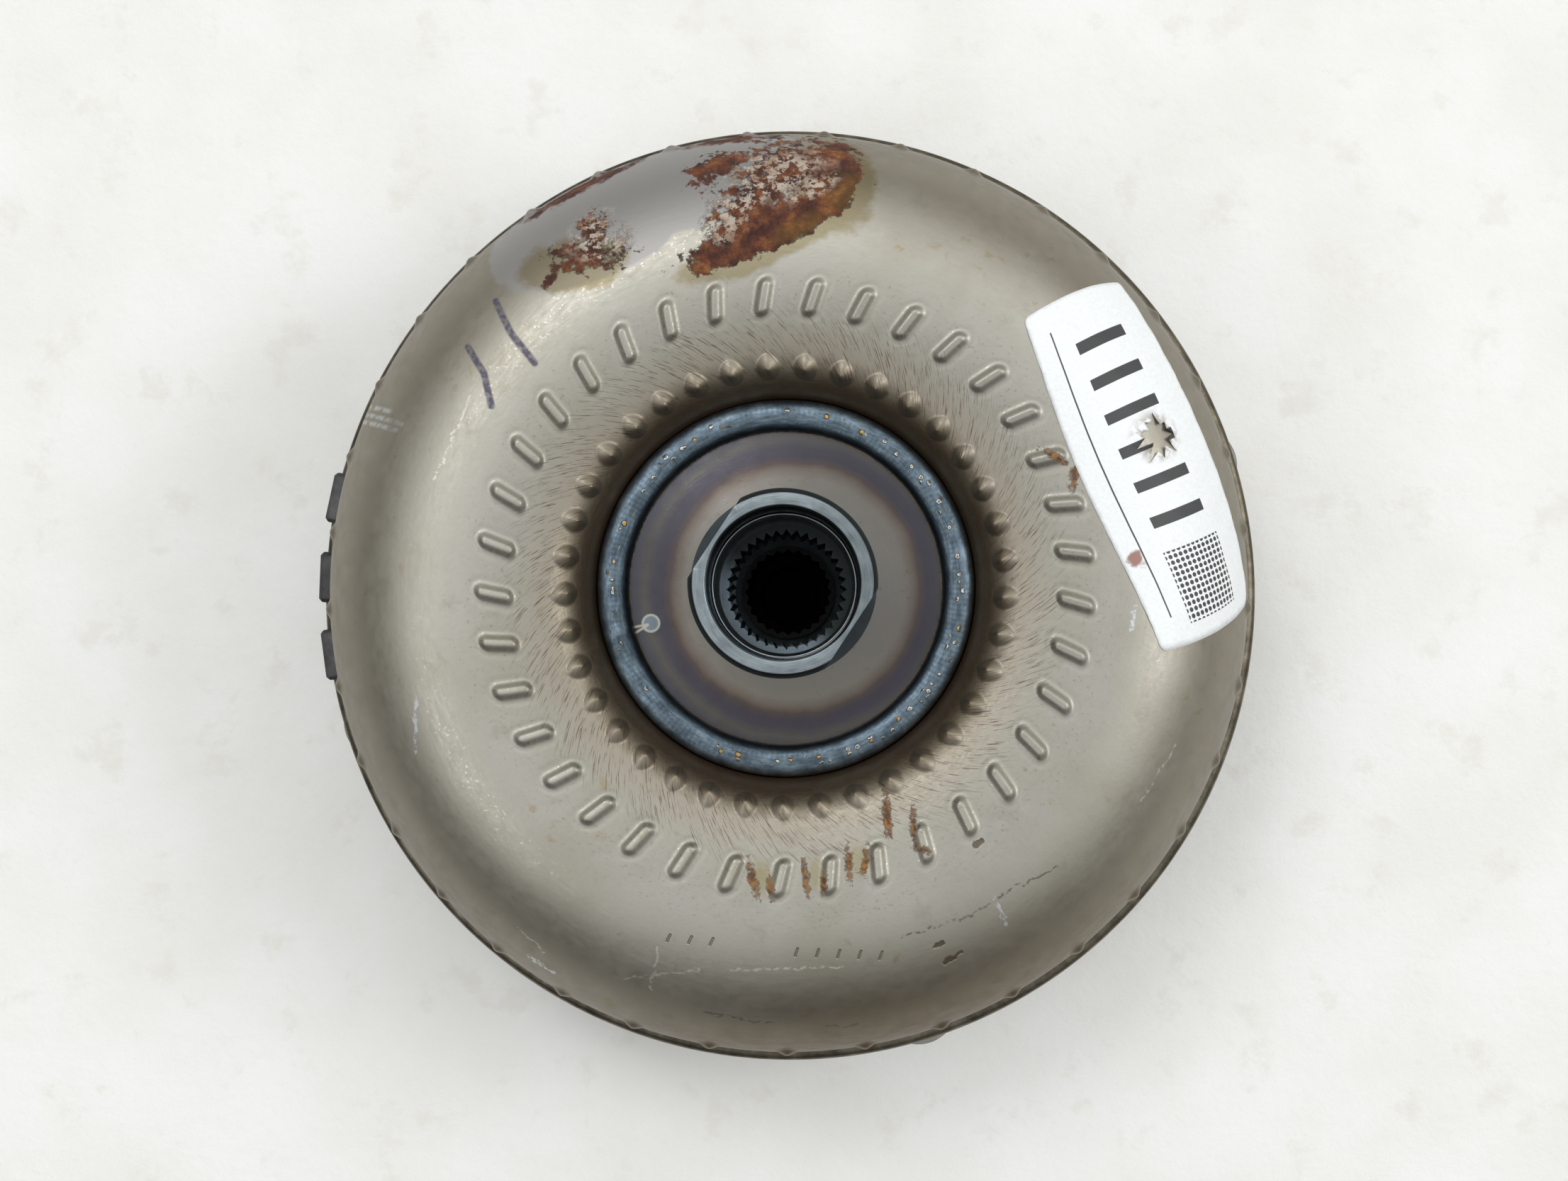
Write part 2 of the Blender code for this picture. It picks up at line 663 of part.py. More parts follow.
def build_cover(carrier):
    """The engine-side cover with the pads that the drive plate bolts to."""
    profile = cover_meridian(0.0) + cover_meridian(-COVER_WALL)[::-1]
    turned("front_cover", profile, PAINTED_STEEL, carrier, COVER_SEGMENTS)

    envelope = [(0.0, BOSS_HEIGHT + SINK), (COVER_RADIUS + GAP, BOSS_HEIGHT + SINK)]
    envelope += cover_meridian(GAP)[1:2 + COVER_CORNER_STEPS]
    envelope.append((0.0, COVER_STAND - GAP))
    body = turned_object("cover_envelope", envelope, COVER_SEGMENTS, False)
    for index in range(BOSS_COUNT):
        angle = BOSS_ANGLE + 360.0 * index / BOSS_COUNT
        name = f"drive_boss_{index + 1}"
        bm = bmesh.new()
        add_rod(bm, BOSS_RADIUS, BOSS_HEIGHT, Matrix.Translation((0.0, 0.0, BOSS_HEIGHT / 2)), 24)
        place = polar(BOSS_CIRCLE_RADIUS, angle).translation
        boss = add_piece(name, mesh_from(name, bm), MACHINED_STEEL, place, angle, carrier)
        cut(boss, body)
        hole = polar(BOSS_CIRCLE_RADIUS, angle)
        cut(boss, rods(name + "_thread", BOSS_HOLE_RADIUS, 2 * BOSS_HOLE_DEPTH, [hole]))

    top = COVER_FLOOR + PILOT_STEM_RISE
    spigot = COVER_CENTRE - GAP
    floor = PILOT_STAND + PILOT_FLOOR
    profile = [
        (0.0, floor), (PILOT_BORE_RADIUS, floor), (PILOT_BORE_RADIUS, top), (PILOT_STEM_RADIUS, top),
        (PILOT_STEM_RADIUS, spigot), (PILOT_RADIUS, spigot),
        (PILOT_RADIUS, PILOT_STAND + PILOT_CHAMFER), (PILOT_RADIUS - PILOT_CHAMFER, PILOT_STAND),
        (0.0, PILOT_STAND),
    ]
    turned("pilot_boss", profile, MACHINED_STEEL, carrier, 24, False)


def build_turbine(carrier):
    outer = turbine_meridian(0.0)
    inner = turbine_meridian(TURBINE_WALL)
    shell = turned("turbine_shell", outer + inner[::-1], BLADE_STEEL, carrier, TURBINE_SEGMENTS)
    rivet_frames = spread(RIVET_COUNT, RIVET_CIRCLE_RADIUS, TURBINE_FLANGE_TOP)
    holes = rods("rivet_holes", RIVET_RADIUS + GAP, 4 * TURBINE_FLANGE_THICKNESS, rivet_frames, 12)
    cut(shell, holes)

    def turbine_blade_angle(radius):
        return TURBINE_SWEEP * (radius - RING_RADIUS)

    edge = turbine_meridian(TURBINE_WALL + BLADE_GAP)[1:6]
    blade_ring(
        "turbine_blade_ring", edge, TURBINE_BLADE_COUNT, turbine_blade_angle, TURBINE_CENTRE, -1,
        BLADE_STEEL, carrier,
    )

    tip = TURBINE_SHOULDER + NOSE_LENGTH
    seat = DRIVEN_PLATE_BASE - GAP
    groove_base = TURBINE_HUB_BASE + SEAL_RISE
    groove_top = groove_base + SEAL_SQUARE + 2 * GAP
    groove_radius = TURBINE_HUB_BASE_RADIUS - SEAL_DEPTH
    bore = SHAFT_SPLINE[1] - SINK
    profile = [
        (NOSE_RADIUS, tip), (NOSE_RADIUS, TURBINE_SHOULDER),
        (TURBINE_HUB_RADIUS, TURBINE_SHOULDER), (TURBINE_HUB_RADIUS, TURBINE_FLANGE_TOP),
        (TURBINE_FLANGE_RADIUS, TURBINE_FLANGE_TOP), (TURBINE_FLANGE_RADIUS, TURBINE_FLANGE_BASE),
        (TURBINE_HUB_RADIUS, TURBINE_FLANGE_BASE), (TURBINE_HUB_RADIUS, seat),
        (TURBINE_HUB_BASE_RADIUS, seat), (TURBINE_HUB_BASE_RADIUS, groove_top),
        (groove_radius, groove_top), (groove_radius, groove_base),
        (TURBINE_HUB_BASE_RADIUS, groove_base), (TURBINE_HUB_BASE_RADIUS, TURBINE_HUB_BASE),
        (bore, TURBINE_HUB_BASE), (bore, tip),
    ]
    hub = turned("turbine_hub", profile, TURNED_STEEL, carrier, 24)
    cut(hub, holes)
    cut(hub, spline_core("shaft_spline", SHAFT_SPLINE, TURBINE_HUB_BASE, tip))
    seal_inner = groove_radius + GAP
    seal_outer = TURBINE_HUB_BASE_RADIUS
    ring("piston_seal", seal_inner, seal_outer, groove_base + GAP, SEAL_SQUARE, SEAL_PLASTIC, carrier)

    top = TURBINE_FLANGE_TOP + GAP + TURBINE_WALL + GAP
    bottom = TURBINE_FLANGE_BASE - GAP
    rivet_profile = [
        (0.0, top + RIVET_HEAD_HEIGHT), (RIVET_HEAD_RADIUS / 2, top + RIVET_HEAD_HEIGHT),
        (RIVET_HEAD_RADIUS, top), (RIVET_RADIUS, top), (RIVET_RADIUS, bottom),
        (RIVET_HEAD_RADIUS, bottom), (RIVET_HEAD_RADIUS / 2, bottom - RIVET_HEAD_HEIGHT),
        (0.0, bottom - RIVET_HEAD_HEIGHT),
    ]
    for index in range(RIVET_COUNT):
        rivet = turned(f"turbine_rivet_{index + 1}", rivet_profile, MACHINED_STEEL, carrier, 8, False)
        place = polar(RIVET_CIRCLE_RADIUS, 360.0 * index / RIVET_COUNT).translation
        rivet.location.x = place.x
        rivet.location.y = place.y

    plate_bore = TURBINE_HUB_RADIUS + GAP
    plate = ring(
        "driven_plate", plate_bore, REAR_PLATE_RADIUS, DRIVEN_PLATE_BASE, DRIVEN_PLATE_THICKNESS,
        MACHINED_STEEL, carrier,
    )
    cut(plate, spring_windows("driven_windows", SPRING_RADIUS + GAP))
    notch = 2 * PIN_CIRCLE_RADIUS * math.radians(DAMPER_SWING) + 2 * (PIN_RADIUS + RUNNING_GAP)
    reach = PIN_CIRCLE_RADIUS - PIN_RADIUS - RUNNING_GAP * 2
    depth = REAR_PLATE_RADIUS - reach + SINK
    frames = spread(SPRING_COUNT, reach + depth / 2, DAMPER_CENTRE, 180.0 / SPRING_COUNT)
    cut(plate, boxes("pin_notches", (depth, notch, 2 * DRIVEN_PLATE_THICKNESS), frames))


def spring_windows(name, half_width):
    """Cutters for the windows that hold the damper springs."""
    size = (2 * half_width, SPRING_LENGTH + 2 * GAP, 2 * (PLATE_SPREAD + PLATE_THICKNESS) + SINK)
    return boxes(name, size, spread(SPRING_COUNT, SPRING_CIRCLE_RADIUS, DAMPER_CENTRE))


def build_damper(carrier):
    """The two outer plates, their stop pins and the springs between them."""
    half_width = math.sqrt(SPRING_RADIUS ** 2 - PLATE_SPREAD ** 2) + GAP
    windows = spring_windows("plate_windows", half_width)
    pin_frames = spread(SPRING_COUNT, PIN_CIRCLE_RADIUS, DAMPER_CENTRE, 180.0 / SPRING_COUNT)
    span = 2 * (PLATE_SPREAD + PLATE_THICKNESS)
    holes = rods("pin_holes", PIN_END_RADIUS + GAP, span + SINK, pin_frames, 10)
    drive = ring(
        "damper_drive_plate", DRIVE_PLATE_BORE, DRIVE_PLATE_RADIUS, DRIVE_PLATE_BASE, PLATE_THICKNESS,
        MACHINED_STEEL, carrier, 36,
    )
    rear = ring(
        "damper_rear_plate", DRIVE_PLATE_BORE, REAR_PLATE_RADIUS, REAR_PLATE_BASE, PLATE_THICKNESS,
        MACHINED_STEEL, carrier,
    )
    for plate in (drive, rear):
        cut(plate, windows)
        cut(plate, holes)
    notch_reach = TAB_REACH - GAP
    depth = DRIVE_PLATE_RADIUS - notch_reach + SINK
    notch_size = (depth, TAB_SIZE[1] + 2 * GAP, 4 * PLATE_THICKNESS)
    frames = spread(TAB_COUNT, notch_reach + depth / 2, DRIVE_PLATE_BASE)
    cut(drive, boxes("tab_notches", notch_size, frames))

    for index in range(SPRING_COUNT):
        name = f"damper_spring_{index + 1}"
        angle = 360.0 * index / SPRING_COUNT
        lie = polar(SPRING_CIRCLE_RADIUS, angle, DAMPER_CENTRE) @ Matrix.Rotation(math.pi / 2, 4, "Z")
        coil(name, SPRING_RADIUS, SPRING_WIRE_RADIUS, SPRING_LENGTH, SPRING_TURNS, SPRING_STEEL, lie, carrier)

    half = PLATE_SPREAD - GAP
    full = PLATE_SPREAD + PLATE_THICKNESS
    profile = [
        (0.0, full), (PIN_END_RADIUS, full), (PIN_END_RADIUS, half), (PIN_RADIUS, half),
        (PIN_RADIUS, -half), (PIN_END_RADIUS, -half), (PIN_END_RADIUS, -full), (0.0, -full),
    ]
    for index, frame in enumerate(pin_frames):
        heights = [(r, z + DAMPER_CENTRE) for r, z in profile]
        pin = turned(f"stop_pin_{index + 1}", heights, MACHINED_STEEL, carrier, 8, False)
        pin.location.x = frame.translation.x
        pin.location.y = frame.translation.y


def build_lockup(carrier):
    """The clutch piston, which slides on the turbine hub, and its friction lining."""
    bore = TURBINE_HUB_BASE_RADIUS + RUNNING_GAP
    collar = bore + PISTON_COLLAR_WALL
    collar_top = PISTON_TOP + PISTON_COLLAR_RISE
    profile = [
        (PISTON_RADIUS, PISTON_TOP), (PISTON_RADIUS, PISTON_BASE), (bore, PISTON_BASE),
        (bore, collar_top), (collar, collar_top), (collar, PISTON_TOP),
    ]
    piston = turned("lockup_piston", profile, MACHINED_STEEL, carrier, 36)
    rise = TAB_SIZE[2] + SINK
    frames = spread(TAB_COUNT, TAB_REACH + TAB_SIZE[0] / 2, PISTON_TOP + TAB_SIZE[2] - rise / 2)
    join(piston, boxes("piston_tabs", (TAB_SIZE[0], TAB_SIZE[1], rise), frames))
    outer = LINING_INNER_RADIUS + LINING_WIDTH
    ring("friction_lining", LINING_INNER_RADIUS, outer, LINING_BASE, LINING_THICKNESS, LINING, carrier, 36)


def build_inner_race(carrier):
    spline_bore = STATOR_SPLINE[1] - SINK
    width = STATOR_TOP - STATOR_BASE
    race = ring(
        "stator_inner_race", spline_bore, INNER_RACE_RADIUS, STATOR_BASE, width, TURNED_STEEL, carrier,
    )
    cut(race, spline_core("stator_spline", STATOR_SPLINE, STATOR_BASE, STATOR_TOP))


def build_stator(carrier):
    """The stator wheel on its roller clutch, held between two end caps."""
    width = STATOR_TOP - STATOR_BASE
    land = INNER_RACE_RADIUS + LAND_GAP
    race = ring("stator_outer_race", land, OUTER_RACE_RADIUS, STATOR_BASE, width, TURNED_STEEL, carrier)
    depth = POCKET_RADIUS - INNER_RACE_RADIUS
    tight_end = ROLLER_RADIUS + GAP
    reach = INNER_RACE_RADIUS + depth / 2
    shift = Matrix.Translation((0.0, POCKET_LENGTH / 2 - tight_end, 0.0))
    frames = [frame @ shift for frame in spread(ROLLER_COUNT, reach, STATOR_CENTRE)]
    cut(race, boxes("cam_pockets", (depth, POCKET_LENGTH, width + SINK), frames))

    roller_length = width - 2 * GAP
    spring_length = POCKET_LENGTH - 2 * tight_end - GAP
    for index, frame in enumerate(spread(ROLLER_COUNT, ROLLER_CIRCLE_RADIUS, STATOR_CENTRE)):
        name = f"clutch_roller_{index + 1}"
        bm = bmesh.new()
        add_rod(bm, ROLLER_RADIUS, roller_length, Matrix.Identity(4), 12)
        angle = 360.0 * index / ROLLER_COUNT
        add_piece(name, mesh_from(name, bm), TURNED_STEEL, frame.translation, angle, carrier)
        fold_spring(f"roller_spring_{index + 1}", spring_length, frame, roller_length, carrier)

    wheel = ring("stator_wheel", SLEEVE_BORE, SLEEVE_RADIUS, STATOR_BASE, width, CAST_ALUMINIUM, carrier)
    shroud_base = STATOR_CENTRE - SHROUD_WIDTH / 2
    shroud_top = STATOR_CENTRE + SHROUD_WIDTH / 2
    outer = SHROUD_BORE + SHROUD_WALL
    loop = [(outer, shroud_top), (outer, shroud_base), (SHROUD_BORE, shroud_base), (SHROUD_BORE, shroud_top)]
    join(wheel, stator_blades())
    join(wheel, turned_object("stator_shroud", loop, 26, True))

    cap_rings = [("stator_front_cap", FRONT_CAP_BASE), ("stator_rear_cap", REAR_CAP_BASE)]
    for name, base in cap_rings:
        ring(name, CAP_BORE_RADIUS, CAP_RADIUS, base, CAP_THICKNESS, CAST_ALUMINIUM, carrier)


def stator_blades():
    """Aerofoil vanes between the sleeve and the shroud."""
    half = STATOR_BLADE_CHORD / 2
    thick = STATOR_BLADE_THICKNESS / 2
    outline = [
        (0.0, -half), (thick, -half * 0.45), (thick * 0.8, half * 0.1), (0.0, half),
        (-thick * 0.5, half * 0.2), (-thick, -half * 0.5),
    ]
    lean = Matrix.Rotation(math.radians(STATOR_BLADE_LEAN), 4, "X")
    inner = SLEEVE_RADIUS - SINK
    outer = SHROUD_BORE + SHROUD_WALL / 2
    bm = bmesh.new()
    for frame in spread(STATOR_BLADE_COUNT, inner, STATOR_CENTRE):
        foot = [bm.verts.new(frame @ lean @ Vector((0.0, y, z))) for y, z in outline]
        face = bm.faces.new(foot)
        swept = bmesh.ops.extrude_face_region(bm, geom=[face])["geom"]
        tips = [item for item in swept if isinstance(item, bmesh.types.BMVert)]
        away = frame.to_3x3() @ Vector((outer - inner, 0.0, 0.0))
        bmesh.ops.translate(bm, verts=tips, vec=away)
    return guide("stator_blades", bm)


def fold_spring(name, length, frame, width, carrier):
    """A folded strip that keeps a roller in the tight end of its pocket."""
    half = ROLLER_SPRING_DEPTH / 2
    steps = 2 * ROLLER_SPRING_FOLDS
    start = ROLLER_RADIUS + GAP + ROLLER_SPRING_STRIP
    run = length - 2 * ROLLER_SPRING_STRIP
    bm = bmesh.new()
    edges = []
    for step in range(steps + 1):
        crest = (half if step % 2 else -half, start + run * step / steps)
        edges.append([bm.verts.new((*crest, side * width / 2)) for side in (-1, 1)])
    for near, far in zip(edges, edges[1:]):
        bm.faces.new((near[0], far[0], far[1], near[1]))
    piece = add_piece(name, mesh_from(name, bm), SPRING_STEEL, carrier=carrier)
    piece.matrix_local = frame
    strip = piece.modifiers.new("strip", "SOLIDIFY")
    strip.thickness = ROLLER_SPRING_STRIP
    strip.offset = 0.0
    strip.use_even_offset = True


def build_bearings(housing, turbine, front, middle, rear):
    """Needle thrust bearings between the cover, turbine, stator and pump hub."""
    cage = BEARING_CAGE_THICKNESS
    washer = BEARING_WASHER_THICKNESS
    front_bore = PILOT_STEM_RADIUS + RUNNING_GAP
    base = COVER_FLOOR + GAP
    needle_cage("front_bearing_cage", front_bore, FRONT_BEARING_WIDTH, base, BEARING_STEEL, front)
    ring(
        "front_bearing_race", front_bore, front_bore + FRONT_BEARING_WIDTH, base + cage + GAP, washer,
        BEARING_STEEL, turbine, 24,
    )
    middle_outer = MIDDLE_BEARING_BORE + MIDDLE_BEARING_WIDTH
    base = TURBINE_SHOULDER + GAP
    ring("middle_bearing_race", MIDDLE_BEARING_BORE, middle_outer, base, washer, BEARING_STEEL, turbine, 24)
    needle_cage(
        "middle_bearing_cage", MIDDLE_BEARING_BORE, MIDDLE_BEARING_WIDTH, base + washer + GAP,
        BEARING_STEEL, middle,
    )
    rear_outer = REAR_BEARING_BORE + REAR_BEARING_WIDTH
    base = REAR_CAP_TOP + GAP
    needle_cage("rear_bearing_cage", REAR_BEARING_BORE, REAR_BEARING_WIDTH, base, BEARING_STEEL, rear)
    ring(
        "rear_bearing_race", REAR_BEARING_BORE, rear_outer, base + cage + GAP, washer,
        BEARING_STEEL, housing, 24,
    )


def add_axis(name, carrier=None):
    """An empty on the shaft axis that a moving group hangs on."""
    empty = bpy.data.objects.new(name, None)
    empty.parent = carrier
    PARTS.objects.link(empty)
    return empty


clear_scene()
PARTS = make_collection("torque_converter")
GUIDES = make_collection("cutters")

PRESSED_STEEL = make_finish("pressed steel", (0.19, 0.175, 0.155), 0.42)
BLADE_STEEL = make_finish("blade steel", (0.33, 0.33, 0.32), 0.4)
WELD_STEEL = make_finish("weld steel", (0.16, 0.18, 0.21), 0.55)
TURNED_STEEL = make_finish("turned steel", (0.45, 0.45, 0.44), 0.3)
MACHINED_STEEL = make_finish("machined steel", (0.34, 0.34, 0.33), 0.35)
BEARING_STEEL = make_finish("bearing steel", (0.5, 0.5, 0.5), 0.2)
SPRING_STEEL = make_finish("spring steel", (0.12, 0.12, 0.13), 0.35)
PAINTED_STEEL = make_finish("phosphated steel", (0.11, 0.105, 0.1), 0.5, 0.8)
BLACK_STEEL = make_finish("blackened steel", (0.02, 0.02, 0.022), 0.5, 0.6)
BRONZE = make_finish("bush bronze", (0.42, 0.36, 0.28), 0.35)
CAST_ALUMINIUM = make_finish("cast aluminium", (0.6, 0.6, 0.6), 0.45)
SEAL_PLASTIC = make_finish("seal plastic", (0.25, 0.16, 0.08), 0.5, 0.0)
LINING = make_finish("clutch lining", (0.14, 0.1, 0.06), 0.85, 0.0)

HOUSING_AXIS = add_axis("housing_axis")
TURBINE_AXIS = add_axis("turbine_axis", HOUSING_AXIS)
DAMPER_AXIS = add_axis("damper_axis", TURBINE_AXIS)
LOCKUP_AXIS = add_axis("lockup_axis", DAMPER_AXIS)
RACE_AXIS = add_axis("inner_race_axis", HOUSING_AXIS)
STATOR_AXIS = add_axis("stator_axis", RACE_AXIS)

build_housing(HOUSING_AXIS)
build_turbine(TURBINE_AXIS)
build_damper(DAMPER_AXIS)
build_lockup(LOCKUP_AXIS)
build_inner_race(RACE_AXIS)
build_stator(STATOR_AXIS)
build_bearings(
    HOUSING_AXIS, TURBINE_AXIS, add_axis("front_cage_axis", HOUSING_AXIS),
    add_axis("middle_cage_axis", HOUSING_AXIS), add_axis("rear_cage_axis", HOUSING_AXIS),
)
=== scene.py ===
# %% [markdown]
# # Dressing a torque converter for its portrait
#
# A torque converter is a welded steel doughnut that sits between an engine and an automatic
# gearbox. This lesson takes the working model of one, whose pieces already have their true
# sizes, and gives it the look of a used one that was photographed from straight above: the
# pressed shell with its rows of dimples, the blued weld, the turned hub, rust and a label.
#
# The working model is loaded as a fixed frame. Nothing in it is moved. Where a piece has
# the right shape it only gets a material; where the real one has more shape than the
# faceted solid, a finer mesh stands in for it.

# %% The frame
import json
import math
import random

import bmesh
import bpy
import numpy as np
from mathutils import Matrix, Vector
from mathutils.geometry import delaunay_2d_cdt


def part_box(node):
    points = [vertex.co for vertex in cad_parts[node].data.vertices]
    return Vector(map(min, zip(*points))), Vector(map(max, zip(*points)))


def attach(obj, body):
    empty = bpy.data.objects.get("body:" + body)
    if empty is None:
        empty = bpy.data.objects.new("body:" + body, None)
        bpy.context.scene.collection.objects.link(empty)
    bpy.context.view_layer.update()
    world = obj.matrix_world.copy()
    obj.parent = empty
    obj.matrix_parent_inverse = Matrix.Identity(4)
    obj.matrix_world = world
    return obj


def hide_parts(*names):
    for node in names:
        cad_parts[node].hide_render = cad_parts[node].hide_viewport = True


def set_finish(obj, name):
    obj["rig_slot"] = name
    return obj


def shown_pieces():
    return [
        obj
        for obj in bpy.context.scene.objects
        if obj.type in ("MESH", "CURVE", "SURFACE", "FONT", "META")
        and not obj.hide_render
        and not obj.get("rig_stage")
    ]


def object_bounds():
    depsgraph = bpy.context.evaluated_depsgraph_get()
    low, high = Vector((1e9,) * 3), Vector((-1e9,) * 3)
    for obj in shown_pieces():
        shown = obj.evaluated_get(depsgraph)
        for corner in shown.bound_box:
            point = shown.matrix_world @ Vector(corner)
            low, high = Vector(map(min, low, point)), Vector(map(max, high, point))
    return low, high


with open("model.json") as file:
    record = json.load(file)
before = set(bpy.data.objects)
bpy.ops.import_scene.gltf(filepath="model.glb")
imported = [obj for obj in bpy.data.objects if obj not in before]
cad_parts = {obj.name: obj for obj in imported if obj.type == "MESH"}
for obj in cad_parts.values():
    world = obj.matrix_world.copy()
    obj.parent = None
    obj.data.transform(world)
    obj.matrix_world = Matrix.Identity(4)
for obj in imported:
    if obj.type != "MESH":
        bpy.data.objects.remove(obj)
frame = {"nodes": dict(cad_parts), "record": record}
CAD_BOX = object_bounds()
MM = 0.001
print("nodes:", len(frame["nodes"]), " box:", [round(v / MM, 1) for v in CAD_BOX[1] - CAD_BOX[0]])

# %% [markdown]
# ## The camera
#
# The photograph was taken by hand, so the lens was neither exactly over the shaft nor
# exactly level. The place below was worked out from how far the circles of the hub, the
# weld and the rim are shifted against each other: near circles drift more than far ones.
# The lens follows from the focal length counted in pixels of a picture 2212 pixels wide.

# %% Camera
PHOTO_WIDTH = 2212
FOCAL_PIXELS = 2565
EYE = Vector((0.0091, -0.0150, 0.5461))
BACKWARD = Vector((0.0208, -0.0314, 0.9993))

lens = bpy.data.cameras.new("photo_lens")
lens.sensor_width = 36.0
lens.lens = lens.sensor_width * FOCAL_PIXELS / PHOTO_WIDTH
lens.clip_start = 0.01
bpy.context.scene.view_settings.view_transform = "Standard"
camera = bpy.data.objects.new("photo_camera", lens)
rightward = Vector((0, 1, 0)).cross(BACKWARD).normalized()
upward = BACKWARD.cross(rightward).normalized()
attitude = Matrix((rightward, upward, BACKWARD)).transposed().to_4x4()
camera.matrix_world = Matrix.Translation(EYE) @ attitude
bpy.context.scene.collection.objects.link(camera)
bpy.context.scene.camera = camera
print("lens:", round(lens.lens, 2), "mm, height over the hub:", round(EYE.z - CAD_BOX[1].z, 3), "m")

# %% [markdown]
# ## Small helpers
#
# Colours are written as the sRGB hex values that a colour picker shows. Blender's sockets
# want linear light, so one function turns them. Materials are node trees, and one more
# function adds a node, fills in or links its inputs and hands back an output, so that a
# tree reads like a list of sums.

# %% Colour and node helpers
def linear(hex_colour):
    """An sRGB hex colour as the linear RGBA that sockets take."""
    channels = [int(hex_colour[i:i + 2], 16) / 255 for i in (1, 3, 5)]
    light = [c / 12.92 if c <= 0.04045 else ((c + 0.055) / 1.055) ** 2.4 for c in channels]
    return (*light, 1.0)


def add(tree, kind, inputs=None, output=0, **settings):
    """Add a node, set its properties, then set or link its inputs; returns one output."""
    node = tree.nodes.new("ShaderNode" + kind)
    for name, value in settings.items():
        if name == "stops":
            ramp = node.color_ramp
            while len(ramp.elements) < len(value):
                ramp.elements.new(1.0)
            for element, (place, colour) in zip(ramp.elements, value):
                element.position = place
                element.color = linear(colour)
        else:
            setattr(node, name, value)
    for key, value in (inputs or {}).items():
        socket = node.inputs[key]
        if isinstance(value, bpy.types.NodeSocket):
            tree.links.new(value, socket)
        else:
            socket.default_value = value
    return node.outputs[output]


def new_material(name, metallic, roughness):
    """A material with a Principled shader; returns it, a Places for its tree, and the shader."""
    material = bpy.data.materials.new(name)
    material.use_nodes = True
    shader = material.node_tree.nodes["Principled BSDF"]
    shader.inputs["Metallic"].default_value = metallic
    shader.inputs["Roughness"].default_value = roughness
    return material, Places(material.node_tree), shader


def connect(shader, sockets):
    """Link outputs to the shader's inputs, by their names."""
    for name, output in sockets.items():
        shader.id_data.links.new(output, shader.inputs[name])


# %% [markdown]
# Most patterns on a turned or pressed part follow its axis: tint rings, turning marks,
# brushed grain. So the next helpers measure a surface point from the shaft. `around` gives
# the point's direction and `swirl` turns that direction with the radius, which lets a
# noise be stretched along circles, spokes or slanted lines without a seam. A mask is a
# number from 0 to 1, and masks that must hold together are multiplied.

# %% Measures from the shaft
RING_RADIUS = 0.0825


